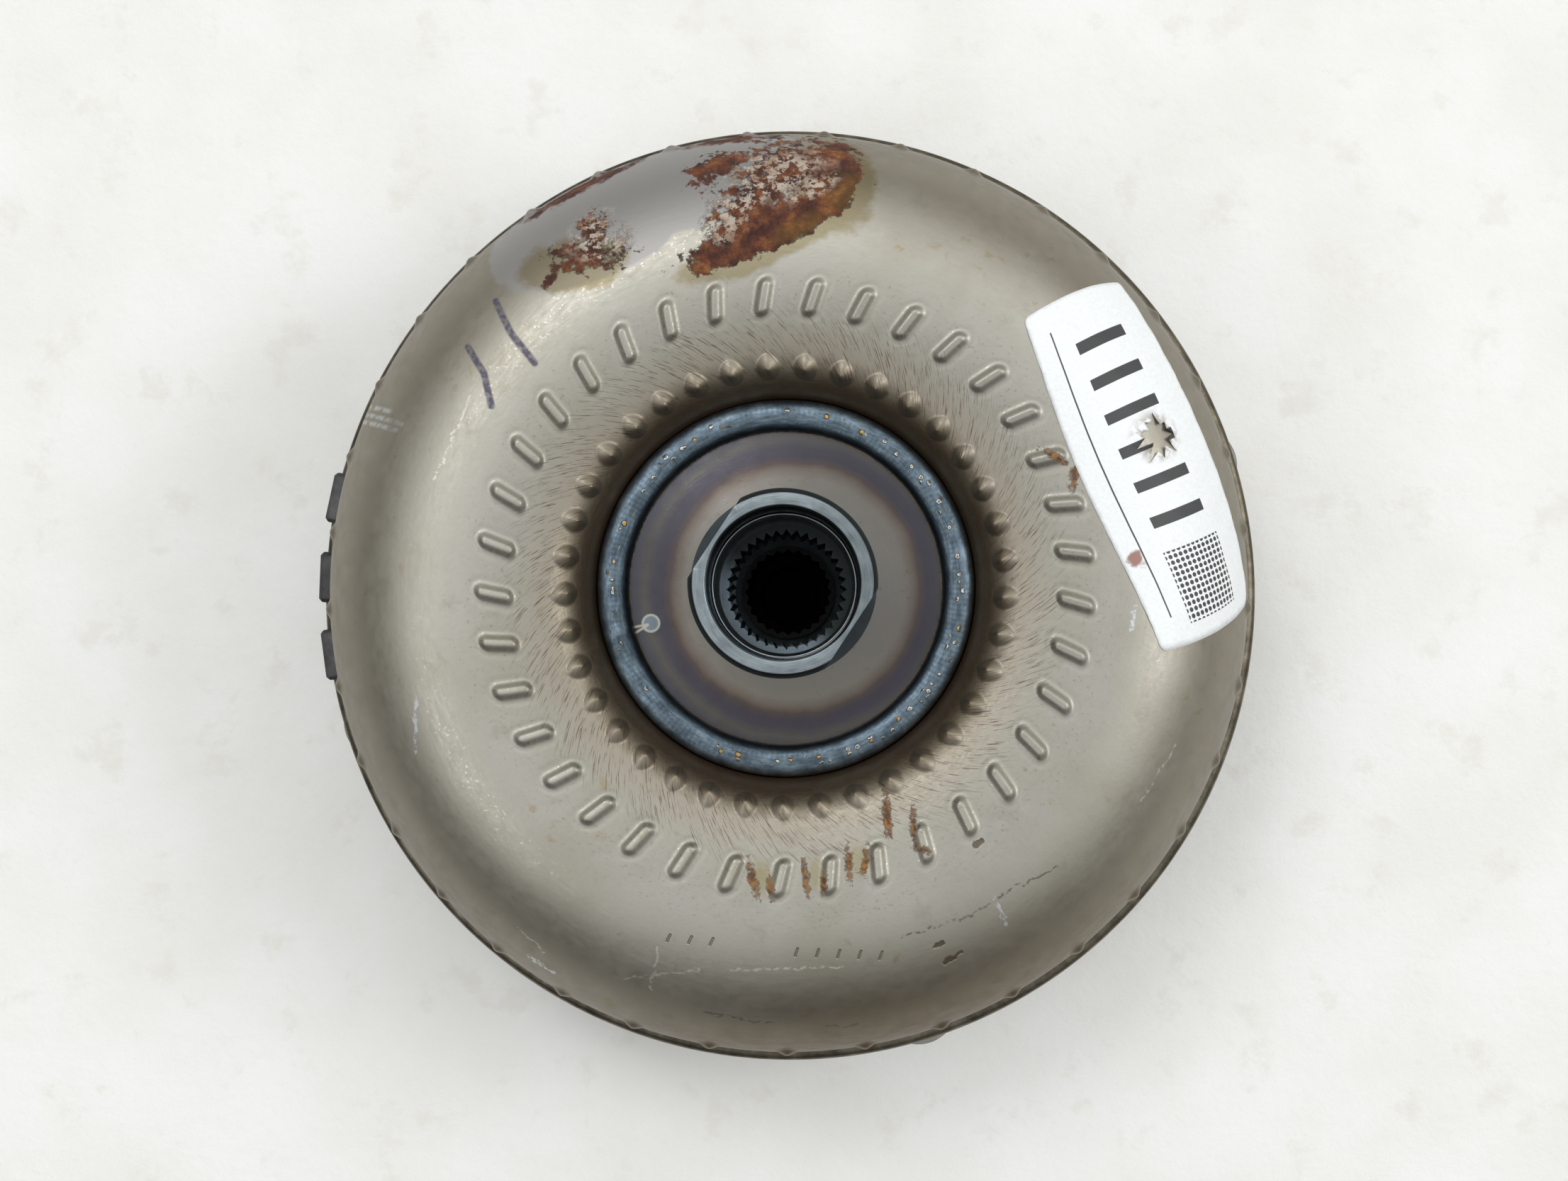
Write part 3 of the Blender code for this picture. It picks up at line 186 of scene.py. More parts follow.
class Places:
    """Measures and patterns at a shaded point, in the frame's metres, as sockets of one tree."""

    def __init__(self, tree):
        self.tree = tree
        self.point = self.add("TexCoord", output="Object")
        self.flat = self.vector("MULTIPLY", self.point, (1, 1, 0))
        self.radius = self.vector("LENGTH", self.flat)
        self.around = self.vector("NORMALIZE", self.flat)
        self.height = self.add("SeparateXYZ", {0: self.point}, "Z")

    def add(self, kind, inputs=None, output=0, **settings):
        """One more node of this tree."""
        return add(self.tree, kind, inputs, output, **settings)

    def math(self, operation, *terms):
        """One sum on numbers."""
        return self.add("Math", dict(enumerate(terms)), operation=operation)

    def vector(self, operation, *terms, **named):
        """One sum on vectors; the sums that measure something hand back their number."""
        inputs = {**dict(enumerate(terms)), **named}
        output = "Value" if operation in ("LENGTH", "DISTANCE", "DOT_PRODUCT") else 0
        return self.add("VectorMath", inputs, output, operation=operation)

    def joined(self, operation, *terms):
        """All terms joined by one operation."""
        total = terms[0]
        for term in terms[1:]:
            total = self.math(operation, total, term)
        return total

    def product(self, *masks):
        """All masks multiplied."""
        return self.joined("MULTIPLY", *masks)

    def highest(self, *masks):
        """The highest of the masks."""
        return self.joined("MAXIMUM", *masks)

    def noise(self, size, detail=3.0, roughness=0.55, vector=None, output=0):
        """Noise whose cells are `size` metres wide."""
        inputs = {
            "Vector": vector or self.point, "Scale": 1 / size, "Detail": detail, "Roughness": roughness
        }
        return self.add("TexNoise", inputs, output)

    def grain(self, across, along, detail=3.0, slant=0.0):
        """Noise whose cells are `across` wide around the shaft, measured at the ring's radius.

        They are `along` long on the spoke, which slant turns by radians for each metre of radius.
        """
        direction = self.around
        if slant:
            turn = self.math("MULTIPLY", self.radius, slant)
            direction = self.add(
                "VectorRotate", {"Vector": direction, "Angle": turn}, rotation_type="Z_AXIS"
            )
        spread = self.vector("SCALE", direction, Scale=RING_RADIUS / across)
        reach = self.math("MULTIPLY", self.radius, 1 / along)
        drop = self.math("MULTIPLY_ADD", self.height, 1 / along, reach)
        return self.noise(1.0, detail, vector=self.vector("ADD", spread, self.add("CombineXYZ", {2: drop})))

    def shaken(self, value, amount, size, detail=3.0, roughness=0.55):
        """A value that a noise shifts, by half of amount at most."""
        centred = self.math("SUBTRACT", self.noise(size, detail, roughness), 0.5)
        return self.math("MULTIPLY_ADD", centred, amount, value)

    def spread(self, value, low=0.0, high=1.0, start=0.0, end=1.0):
        """A value from low to high, spread evenly from start to end."""
        return self.add("MapRange", {
            "Value": value, "From Min": low, "From Max": high, "To Min": start, "To Max": end,
        })

    def step(self, value, low, high):
        """A soft step from 0 at low to 1 at high."""
        inputs = {"Value": value, "From Min": low, "From Max": high}
        if low > high:
            inputs = {"Value": value, "From Min": high, "From Max": low, "To Min": 1.0, "To Max": 0.0}
        return self.add("MapRange", inputs, interpolation_type="SMOOTHSTEP")

    def band(self, value, rise, fall):
        """1 between two soft steps, each a pair of values."""
        return self.product(self.step(value, *rise), self.step(value, *fall))

    def facing(self, side, low, high):
        """A soft step towards one side of the shaft; side is a direction in the floor's plane."""
        return self.step(self.vector("DOT_PRODUCT", self.flat, side), low, high)

    def line(self, start, end, vector=None):
        """Distance from a straight mark between two XY places; metres."""
        turn = math.atan2(end[1] - start[1], end[0] - start[0])
        inputs = {
            "Vector": vector or self.flat, "Location": (*start, 0.0), "Rotation": (0.0, 0.0, turn),
        }
        own = self.add("Mapping", inputs, vector_type="TEXTURE")
        ahead = self.vector("MAXIMUM", own, (0, 0, 0))
        nearest = self.vector("MINIMUM", ahead, (math.dist(start, end), 0, 0))
        return self.vector("DISTANCE", own, nearest)

    def ramp(self, value, *stops):
        """Colours at places from 0 to 1, and the blends between them."""
        return self.add("ValToRGB", {0: value}, stops=stops)

    def blend(self, share, low, high):
        """From one colour to another by a share from 0 to 1."""
        colours = [linear(c) if isinstance(c, str) else c for c in (low, high)]
        inputs = {"Factor": share, 6: colours[0], 7: colours[1]}
        return self.add("Mix", inputs, 2, data_type="RGBA")

    def coat(self, under, colour, *masks):
        """A colour laid over another one where all the masks hold."""
        return self.blend(self.product(*masks), under, colour)

    def bump(self, height, depth, normal=None):
        """A normal from a height between 0 and 1 that is `depth` metres tall."""
        inputs = {"Height": height, "Distance": depth, "Strength": 1.0}
        if normal:
            inputs["Normal"] = normal
        return self.add("Bump", inputs)


print("the ring's radius:", RING_RADIUS / MM, "mm")

# %% [markdown]
# ## Light and floor
#
# The photograph was taken indoors under ceiling lamps, over a white painted board. The
# lens and the hand that held it kept the light off the parts that face straight up,
# which is why the flat flange looks nearly black while the domed shell beside it shines.
# A soft sky that is dim right overhead and bright around it gives that, and a few large
# lamps add the broad highlights on the crest of the shell.

# %% Sky
ZENITH_GREY = "#7d7f82"
CEILING_WHITE = "#f2f4f5"
WALL_GREY = "#96948e"
HORIZON_GREY = "#55534e"
SKY_STRENGTH = 1.07
WINDOW_SIDE = (0.42, 0.72, 0.0)

sky = bpy.data.worlds.new("workshop_sky")
sky.use_nodes = True
bpy.context.scene.world = sky
sky_tree = sky.node_tree
direction = add(sky_tree, "TexCoord", output="Generated")
climb = add(sky_tree, "SeparateXYZ", {0: direction}, "Z")
sky_colour = add(sky_tree, "ValToRGB", {0: climb}, stops=[
    (0.0, HORIZON_GREY), (0.40, WALL_GREY), (0.84, CEILING_WHITE), (0.975, CEILING_WHITE),
    (0.996, ZENITH_GREY),
])
background = sky_tree.nodes["Background"]
sky_tree.links.new(sky_colour, background.inputs["Color"])
lean = add(sky_tree, "VectorMath", {0: direction, 1: WINDOW_SIDE}, "Value", operation="DOT_PRODUCT")
strength = add(sky_tree, "Math", {0: lean, 1: SKY_STRENGTH, 2: SKY_STRENGTH}, operation="MULTIPLY_ADD")
sky_tree.links.new(strength, background.inputs["Strength"])
print("sky strength:", SKY_STRENGTH, "leaning to", WINDOW_SIDE)

# %% Lamps
LAMPS = {
    # name: (bearing in degrees, height angle, distance, size, watts)
    "key_lamp": (124.0, 60.0, 1.7, 0.45, 4.8),
    "fill_lamp": (10.0, 42.0, 1.8, 0.60, 7.0),
    "left_lamp": (180.0, 52.0, 1.7, 0.70, 1.2),
    "low_lamp": (-150.0, 52.0, 1.7, 0.60, 2.4),
}
LAMP_AIM = Vector((0.0, 0.0, 0.09))
for lamp_name, (bearing, rise, distance, size, watts) in LAMPS.items():
    lamp_data = bpy.data.lights.new(lamp_name, "AREA")
    lamp_data.size = size
    lamp_data.energy = watts
    lamp = bpy.data.objects.new(lamp_name, lamp_data)
    b, r = math.radians(bearing), math.radians(rise)
    towards = Vector((math.cos(b) * math.cos(r), math.sin(b) * math.cos(r), math.sin(r)))
    lamp.location = LAMP_AIM + distance * towards
    lamp.rotation_mode = "QUATERNION"
    lamp.rotation_quaternion = towards.to_track_quat("Z", "Y")
    bpy.context.scene.collection.objects.link(lamp)
print("lamps:", ", ".join(LAMPS))

# %% [markdown]
# The floor is a board under worn white paint. It stays plain: a little mottling keeps it
# from looking like an empty page, and nothing on it draws the eye.

# %% Floor
FLOOR_SIZE = 2.4
FLOOR_DROP = 0.0004
worn_paint, at, shader = new_material("worn_white_paint", 0.0, 0.6)
mottle = at.noise(0.060, detail=6.0)
smear = at.noise(0.018, detail=7.0, roughness=0.65)
speck = at.noise(0.0045, detail=5.0, roughness=0.7)
tone = at.blend(at.step(mottle, 0.35, 0.7), "#efeeea", "#f6f6f4")
tone = at.coat(tone, "#dfdace", at.step(smear, 0.54, 0.70), 0.35)
tone = at.coat(tone, "#a79f8e", at.step(speck, 0.74, 0.80))
relief = at.bump(at.noise(0.004, detail=7.0, roughness=0.65), 0.00030)
connect(shader, {"Base Color": tone, "Normal": relief})

floor_mesh = bpy.data.meshes.new("floor")
half = FLOOR_SIZE / 2
corners = [(-half, -half, 0), (half, -half, 0), (half, half, 0), (-half, half, 0)]
floor_mesh.from_pydata(corners, [], [(0, 1, 2, 3)])
floor_mesh.materials.append(worn_paint)
floor = bpy.data.objects.new("floor", floor_mesh)
floor.location.z = CAD_BOX[0].z - FLOOR_DROP
bpy.context.scene.collection.objects.link(floor)
floor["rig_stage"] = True
print("floor at z", round(floor.location.z / MM, 2), "mm")

# %% [markdown]
# ## Meshes that go around a shaft
#
# Everything big here is round, so it is built as a grid: rows are rings around the shaft
# and columns run along the section. Writing the grid with numpy keeps it fast, and it
# leaves each point free to be pushed in or out, which a Screw modifier would not.

# %% Grid and lathe
def grid_piece(name, grid, body, stands_for=(), slot=None, closed_section=True, sharp=28.0):
    """A mesh from points[row, column, xyz] whose columns close around the shaft."""
    rows, columns = grid.shape[:2]
    row_count = rows if closed_section else rows - 1
    first = np.arange(row_count)[:, None] * columns
    second = ((np.arange(row_count) + 1) % rows)[:, None] * columns
    near = np.arange(columns)[None, :]
    far = (np.arange(columns) + 1)[None, :] % columns
    faces = np.stack([first + near, first + far, second + far, second + near], axis=-1).reshape(-1, 4)
    mesh = bpy.data.meshes.new(name)
    mesh.vertices.add(rows * columns)
    mesh.vertices.foreach_set("co", grid.reshape(-1).astype(np.float32))
    mesh.loops.add(faces.size)
    mesh.loops.foreach_set("vertex_index", faces.reshape(-1).astype(np.int32))
    mesh.polygons.add(len(faces))
    mesh.polygons.foreach_set("loop_start", np.arange(0, faces.size, 4, dtype=np.int32))
    mesh.update(calc_edges=True)
    return place_mesh(name, mesh, body, stands_for, slot, sharp)


def place_mesh(name, mesh, body, stands_for=(), slot=None, sharp=28.0):
    """Clean a mesh, face it outward, shade it smooth and put it on its body."""
    bm = bmesh.new()
    bm.from_mesh(mesh)
    bmesh.ops.remove_doubles(bm, verts=bm.verts, dist=1e-6)
    bmesh.ops.recalc_face_normals(bm, faces=bm.faces)
    bm.to_mesh(mesh)
    bm.free()
    mesh.shade_smooth()
    mesh.set_sharp_from_angle(angle=math.radians(sharp))
    piece = bpy.data.objects.new(name, mesh)
    bpy.context.scene.collection.objects.link(piece)
    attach(piece, body)
    if stands_for:
        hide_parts(*stands_for)
    if slot:
        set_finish(piece, slot)
    return piece


def softened(profile, radius, steps=3):
    """A closed section with each corner rounded by an arc of at most `radius`."""
    points = [Vector(p) for p in profile]
    result = []
    for before, corner, after in zip(points[-1:] + points[:-1], points, points[1:] + points[:1]):
        incoming, outgoing = before - corner, after - corner
        opening = incoming.angle(outgoing, math.pi)
        if opening > math.radians(155) or corner.x < 1e-6:
            result.append(corner)
            continue
        reach = min(radius / math.tan(opening / 2), incoming.length * 0.45, outgoing.length * 0.45)
        start = corner + incoming.normalized() * reach
        end = corner + outgoing.normalized() * reach
        for step in range(steps + 1):
            t = step / steps
            result.append(start * (1 - t) ** 2 + corner * 2 * t * (1 - t) + end * t ** 2)
    return result


def around_shaft(profile, columns):
    """Grid points of a section that is turned about the shaft."""
    section = np.array([[p[0], p[1]] for p in profile])
    angles = np.arange(columns) * math.tau / columns
    grid = np.empty((len(section), columns, 3))
    grid[:, :, 0] = section[:, 0:1] * np.cos(angles)
    grid[:, :, 1] = section[:, 0:1] * np.sin(angles)
    grid[:, :, 2] = section[:, 1:2]
    return grid


# %% [markdown]
# ## The impeller shell
#
# The shell is one deep pressing of 2.5 mm sheet. Its section is a straight skirt, a
# quarter circle over the outside of the fluid ring, a nearly flat crest and a tight
# shoulder that dives to the hub. The easiest way to draw such a run of tangent arcs is by
# heading: the direction changes evenly along each arc, and adding up small steps along
# that direction gives the curve, its slope and its length in one go.

# %% The section of the shell
SHELL_RADIUS = 0.1195
SHELL_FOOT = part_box("impeller_shell")[0].z
SHELL_WALL = 0.0025
SKIRT = 0.0185
SHELL_ARCS = [(0.037, 90.0), (0.103, 13.7), (0.0143, 66.3)]
TRACE_STEP = 0.00002

knots = [0.0, SKIRT]
headings = [90.0, 90.0]
for bend_radius, turn in SHELL_ARCS:
    knots.append(knots[-1] + bend_radius * math.radians(turn))
    headings.append(headings[-1] + turn)
SHELL_LENGTH = knots[-1]

fine = np.arange(0.0, SHELL_LENGTH + TRACE_STEP, TRACE_STEP)
fine_heading = np.radians(np.interp(fine, knots, headings))
middle_heading = (fine_heading[1:] + fine_heading[:-1]) / 2
fine_radius = SHELL_RADIUS + np.concatenate([[0], np.cumsum(np.cos(middle_heading))]) * TRACE_STEP
fine_height = SHELL_FOOT + np.concatenate([[0], np.cumsum(np.sin(middle_heading))]) * TRACE_STEP


def section(length):
    """Radius, height, and the outward normal's two parts at lengths from the skirt's foot."""
    heading = np.radians(np.interp(length, knots, headings))
    radius = np.interp(length, fine, fine_radius)
    height = np.interp(length, fine, fine_height)
    return radius, height, np.sin(heading), -np.cos(heading)


def length_at(radius):
    """The length along the section, on its upper side, where it has this radius."""
    return float(np.interp(-radius, -fine_radius, fine))


print("shell section:", round(SHELL_LENGTH / MM, 1), "mm long, ends at radius",
      round(fine_radius[-1] / MM, 2), "height", round(fine_height[-1] / MM, 2))

# %% [markdown]
# Inside the shell stand 37 blades. Each has tabs that the press pushed into the sheet, and
# outside they show as three rings of dimples: long ones on the crest, pointed ones down
# the inner slope and low ones at the rim. A blade is bent, so its dimples don't lie on one
# spoke. `blade_trace` is the blade's angle at each radius. The grid's columns follow that
# trace and crowd together near it, so a dimple 3 mm wide gets enough points.

# %% Dimples as a height over the smooth shell
BLADES = 37
PITCH = math.tau / BLADES
BEND_RADIUS = 0.066
BEND_ANGLE = math.radians(7.45)
OUTER_SWEEP = math.radians(-190.0)
INNER_SWEEP = math.radians(76.0)
SHEET_FLOW = 0.00055
TAB_LINE = 0.00006
BUMP_POINT = 1.75
GUTTER = 0.05
TAB_HALF = (0.0022, 0.0038)
TAB_SHIFT = 0.0004
TAB_WIDE = 0.00032


def blade_trace(radius):
    """The angle of the first blade at a radius; radians."""
    sweep = np.where(radius > BEND_RADIUS, OUTER_SWEEP, INNER_SWEEP)
    return BEND_ANGLE + sweep * (np.minimum(radius, RIM_DIMPLE["at"]) - BEND_RADIUS)


LONG_DIMPLE = {"at": 0.0708, "long": 0.0108, "wide": 0.0050, "tall": 0.00115}
INNER_DIMPLE = {"at": 0.0539, "long": 0.0070, "wide": 0.0060, "tall": 0.0026}
RIM_DIMPLE = {"at": 0.1176, "long": 0.0070, "wide": 0.0058, "tall": 0.0011}


def smooth(value, low, high):
    """A soft step from 0 at low to 1 at high, for arrays."""
    share = np.clip((value - low) / (high - low), 0.0, 1.0)
    return share * share * (3.0 - 2.0 * share)


def capsule(along, across, dimple, shoulder):
    """Height of a round-ended bead, with the slight gutter that the press leaves around it."""
    half_wide = dimple["wide"] / 2
    straight = dimple["long"] / 2 - half_wide
    distance = np.hypot(np.maximum(np.abs(along) - straight, 0.0), across)
    crown = 1.0 - smooth(distance, half_wide * shoulder, half_wide)
    gutter = np.exp(-(((distance - half_wide - SHEET_FLOW) / SHEET_FLOW) ** 2))
    return dimple["tall"] * (crown - GUTTER * gutter)


def shell_relief(length, offset):
    """Height of the dimples at lengths along the section and at offsets from a blade; metres."""
    radius = section(length)[0]
    lean = np.cos(np.arctan(OUTER_SWEEP * LONG_DIMPLE["at"]))
    along = (length - length_at(LONG_DIMPLE["at"])) / lean
    relief = capsule(along, offset * lean, LONG_DIMPLE, 0.12)
    on_tab = 1.0 - smooth(np.abs(along), *TAB_HALF)
    relief = relief - TAB_LINE * on_tab * np.exp(-(((offset + TAB_SHIFT) / TAB_WIDE) ** 2))
    lean = np.cos(np.arctan(OUTER_SWEEP * RIM_DIMPLE["at"]))
    along = (length - length_at(RIM_DIMPLE["at"])) / lean
    relief = relief + capsule(along, offset * lean, RIM_DIMPLE, 0.0)
    along = length - length_at(INNER_DIMPLE["at"])
    ahead = np.abs(along + 0.0003) / (INNER_DIMPLE["long"] / 2)
    aside = np.abs(offset - 0.0002) / (INNER_DIMPLE["wide"] / 2)
    peak = (ahead ** BUMP_POINT + aside ** BUMP_POINT) ** (1 / BUMP_POINT)
    cone = np.clip(1.0 - peak, 0.0, 1.0)
    return relief + INNER_DIMPLE["tall"] * cone * (1.0 - 0.25 * cone)


# %% The fine mesh of the shell
COLUMNS_PER_BLADE = 32
ROW_COARSE = 0.0011
ROW_FINE = 0.00030
CROWDING = 0.55
INNER_ROWS = 48

share = np.linspace(-1.0, 1.0, COLUMNS_PER_BLADE, endpoint=False)
column_offset = 0.5 * ((1 - CROWDING) * share + CROWDING * share ** 3) * PITCH
column_turn = (np.arange(BLADES)[:, None] * PITCH + column_offset[None, :]).reshape(-1)
column_offset = np.tile(column_offset, BLADES)


def row_lengths():
    """Lengths of the grid's rows: close together where the dimples are."""
    zones = [
        (length_at(d["at"]) - 0.62 * d["long"], length_at(d["at"]) + 0.62 * d["long"])
        for d in (RIM_DIMPLE, LONG_DIMPLE, INNER_DIMPLE)
    ]
    lengths = [0.0]
    while lengths[-1] < SHELL_LENGTH:
        close = any(low < lengths[-1] < high for low, high in zones)
        lengths.append(lengths[-1] + (ROW_FINE if close else ROW_COARSE))
    lengths[-1] = SHELL_LENGTH
    return np.array(lengths)


def shell_points(length, turn, offset, lift):
    """Points on the dimpled shell; offset is the angle from a blade at the same radius."""
    radius, height, out, up = section(length)
    relief = shell_relief(length, offset * radius) + lift
    angle = blade_trace(radius) + turn
    reach = radius + out * relief
    return np.stack([reach * np.cos(angle), reach * np.sin(angle), height + up * relief], axis=-1)


outer_rows = row_lengths()
outer_grid = shell_points(outer_rows[:, None], column_turn[None, :], column_offset[None, :], 0.0)
inner_rows = np.linspace(SHELL_LENGTH, 0.0, INNER_ROWS)
radius, height, out, up = (part[:, None] for part in section(inner_rows))
angle = blade_trace(radius) + column_turn[None, :]
inner_reach = radius - out * SHELL_WALL
inner_grid = np.stack([
    inner_reach * np.cos(angle), inner_reach * np.sin(angle),
    np.broadcast_to(height - up * SHELL_WALL, angle.shape),
], axis=-1)
shell = grid_piece(
    "pressed_shell", np.concatenate([outer_grid, inner_grid]), "housing", ["impeller_shell"],
    "pressed_steel", sharp=50.0,
)
print("shell:", len(shell.data.vertices), "points,", len(outer_rows), "rows outside")

# %% [markdown]
# ## The hub weld
#
# A robot laid this bead in one turn. Such a bead is a low rounded ridge with crescent
# ripples, one for each pulse of the arc, and where the end runs over the start there is a
# lump. The ripples lag in the middle of the bead, so the phase of the wave depends on the
# place across it.

# %% Weld beads
BEAD_COLUMNS = 900
BEAD_ROWS = 22
BEAD_CROWDING = 1.20  # rows stand closer together at the inner toe
RIPPLE_HEIGHT = 0.00002
RIPPLE_LAG = 2.2
LUMP_WIDE = 0.045


def weld_bead(name, node, inner, outer, ripple, overlap):
    """A bead as tall as its node, with ripples; overlap is the bearing in degrees of its end."""
    base, top = (corner.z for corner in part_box(node))
    turn = np.arange(BEAD_COLUMNS) * math.tau / BEAD_COLUMNS
    place = np.linspace(0.0, 1.0, BEAD_ROWS)[:, None]
    centre, half_width = (inner + outer) / 2, (outer - inner) / 2
    wobble = 0.00012 * np.sin(7 * turn + 0.6) + 0.00008 * np.sin(19 * turn + 1.3)
    lump = np.exp(-((np.angle(np.exp(1j * (turn - math.radians(overlap)))) / LUMP_WIDE) ** 2))
    arc = np.pi * place ** BEAD_CROWDING
    phase = turn * round(math.tau * centre / ripple) + RIPPLE_LAG * np.sin(arc)
    crest = (top - base) * (0.93 + 0.16 * lump) + RIPPLE_HEIGHT * np.sin(phase) * np.sin(arc)
    reach = centre - half_width * np.cos(arc) + wobble * np.sin(arc)
    height = base + crest * np.sin(arc) ** 0.8
    under = np.linspace(outer, inner, 5)[1:-1, None] * np.ones((1, BEAD_COLUMNS))
    reach = np.concatenate([reach * np.ones((1, BEAD_COLUMNS)), under])
    height = np.concatenate([height, np.full(under.shape, base)])
    grid = np.stack([reach * np.cos(turn), reach * np.sin(turn), height], axis=-1)
    return grid_piece(name, grid, "housing", [node], "weld_steel", sharp=60.0)


HUB_WELD_WIDE = 0.0078
HUB_RIPPLE, HUB_OVERLAP = 0.0013, 196.0
SEAM_WELD_INNER = 0.1198
SEAM_RIPPLE, SEAM_OVERLAP = 0.0016, 250.0
WELD_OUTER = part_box("hub_weld")[1].x
WELD_INNER = WELD_OUTER - HUB_WELD_WIDE
weld_bead("hub_weld_bead", "hub_weld", WELD_INNER, WELD_OUTER, HUB_RIPPLE, HUB_OVERLAP)
weld_bead("seam_weld_bead", "seam_weld", SEAM_WELD_INNER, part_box("seam_weld")[1].x,
          SEAM_RIPPLE, SEAM_OVERLAP)
print("hub weld:", round(WELD_INNER / MM, 2), "to", round(WELD_OUTER / MM, 2), "mm")

# %% [markdown]
# ## The pump hub
#
# The hub is turned from bar: a flange that the shell is welded to and a ground journal
# with two flats that drive the oil pump. The flats need no cutting tool here. Every point
# above their ledge that lies outside a flat is pulled back onto it.

# %% Pump hub and its bush
HUB_RADIUS = 0.022225
HUB_BORE = 0.0178
FLAT_DISTANCE = 0.0192
FLAT_DEPTH = 0.011
FLAT_BEARING = math.radians(146.6)
EDGE = 0.0002
BORE_CHAMFER = 0.0005
TIP_CHAMFER = 0.0011

hub_low, hub_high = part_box("pump_hub")
flange_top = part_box("hub_weld")[0].z - 0.0003
seat = hub_high.x
ledge = hub_high.z - FLAT_DEPTH
hub_profile = softened([
    (HUB_RADIUS, ledge - 0.0001), (HUB_RADIUS, flange_top), (seat, flange_top), (seat, hub_low.z),
    (HUB_BORE, hub_low.z), (HUB_BORE, hub_high.z - BORE_CHAMFER), (HUB_BORE + BORE_CHAMFER, hub_high.z),
    (HUB_RADIUS - TIP_CHAMFER, hub_high.z), (HUB_RADIUS, hub_high.z - TIP_CHAMFER), (HUB_RADIUS, ledge),
], EDGE)
hub_grid = around_shaft(hub_profile, 360)
for bearing in (FLAT_BEARING, FLAT_BEARING + math.pi):
    normal = np.array([math.cos(bearing), math.sin(bearing)])
    excess = np.maximum(hub_grid[:, :, :2] @ normal - FLAT_DISTANCE, 0.0)
    excess[hub_grid[:, :, 2] < ledge - 0.00005] = 0.0
    hub_grid[:, :, :2] -= excess[:, :, None] * normal
grid_piece("turned_hub", hub_grid, "housing", ["pump_hub"], "turned_steel", sharp=24.0)

bush_low, bush_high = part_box("hub_bush")
bush_outer = bush_high.x
bush_inner = bush_outer - 0.001
bush_profile = softened([
    (bush_outer, bush_high.z), (bush_outer, bush_low.z), (bush_inner, bush_low.z),
    (bush_inner, bush_high.z - 0.0018), (bush_inner + 0.0007, bush_high.z),
], EDGE / 2)
grid_piece("running_bush", around_shaft(bush_profile, 240), "housing", ["hub_bush"], "bush_bronze")
print("hub tip at", round(hub_high.z / MM, 2), "mm, flange top at", round(flange_top / MM, 2), "mm")

# %% [markdown]
# ## The front cover, drive bosses and pilot
#
# From above only a thin band of the cover shows past the shell. From below it is most of
# the object: a shallow dish with a rounded corner, four bosses for the bolts of the drive
# plate and a pilot in the middle that centres it in the crankshaft.

# %% Front cover
COVER_RADIUS = 0.125
COVER_WALL = 0.0047
COVER_CORNER = 0.0125
DISH_RADIUS = 0.084
DISH_BEND = 0.008
DISH_TURN = 26.6
DISH_DEPTH = 0.006
COVER_BORE = 0.017
COVER_COLUMNS = 320


def ahead(heading):
    """The unit vector of a heading in degrees."""
    turn = math.radians(heading)
    return np.array([math.cos(turn), math.sin(turn)])


def swept_section(start, heading, moves, step=0.0006):
    """Points and normals of a run of straight and curved moves: (length, turn in degrees)."""
    place = np.array(start, float)
    points, aims = [], []
    for length, turn in moves:
        count = max(1, round(length / step)) if turn else 1
        for _ in range(count):
            points.append(place.copy())
            aims.append(ahead(heading))
            heading += turn / count / 2
            place += length / count * ahead(heading)
            heading += turn / count / 2
    points.append(place)
    aims.append(ahead(heading))
    return np.array(points), np.array([(y, -x) for x, y in aims])


cover_low, cover_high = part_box("front_cover")
cover_stand = cover_low.z + DISH_DEPTH
bend_length = DISH_BEND * math.radians(DISH_TURN)
run, rise = ahead(DISH_TURN)
slope = (DISH_DEPTH - 2 * (DISH_BEND * (1 - run))) / rise
dish_run = 2 * DISH_BEND * rise + slope * run
cover_line, cover_normal = swept_section((COVER_RADIUS, cover_high.z), -90.0, [
    (cover_high.z - cover_stand - COVER_CORNER, 0.0),
    (COVER_CORNER * math.pi / 2, -90.0),
    (COVER_RADIUS - COVER_CORNER - DISH_RADIUS, 0.0),
    (bend_length, DISH_TURN), (slope, 0.0), (bend_length, -DISH_TURN),
    (DISH_RADIUS - dish_run - COVER_BORE, 0.0),
])
print("cover ends at", (cover_line[-1] / MM).round(2), "CAD floor", round(cover_low.z / MM, 2))
cover_inside = cover_line + COVER_WALL * cover_normal
cover_profile = softened(list(cover_line) + list(cover_inside[::-1]), 0.0004, 2)
grid_piece(
    "pressed_cover", around_shaft(cover_profile, COVER_COLUMNS), "housing", ["front_cover"],
    "cover_steel", sharp=40.0,
)

# %% [markdown]
# The pilot is a turned disc with a blind bore. Its section starts and ends on the shaft,
# so the first and last rings of the grid shrink to one point each and are merged.

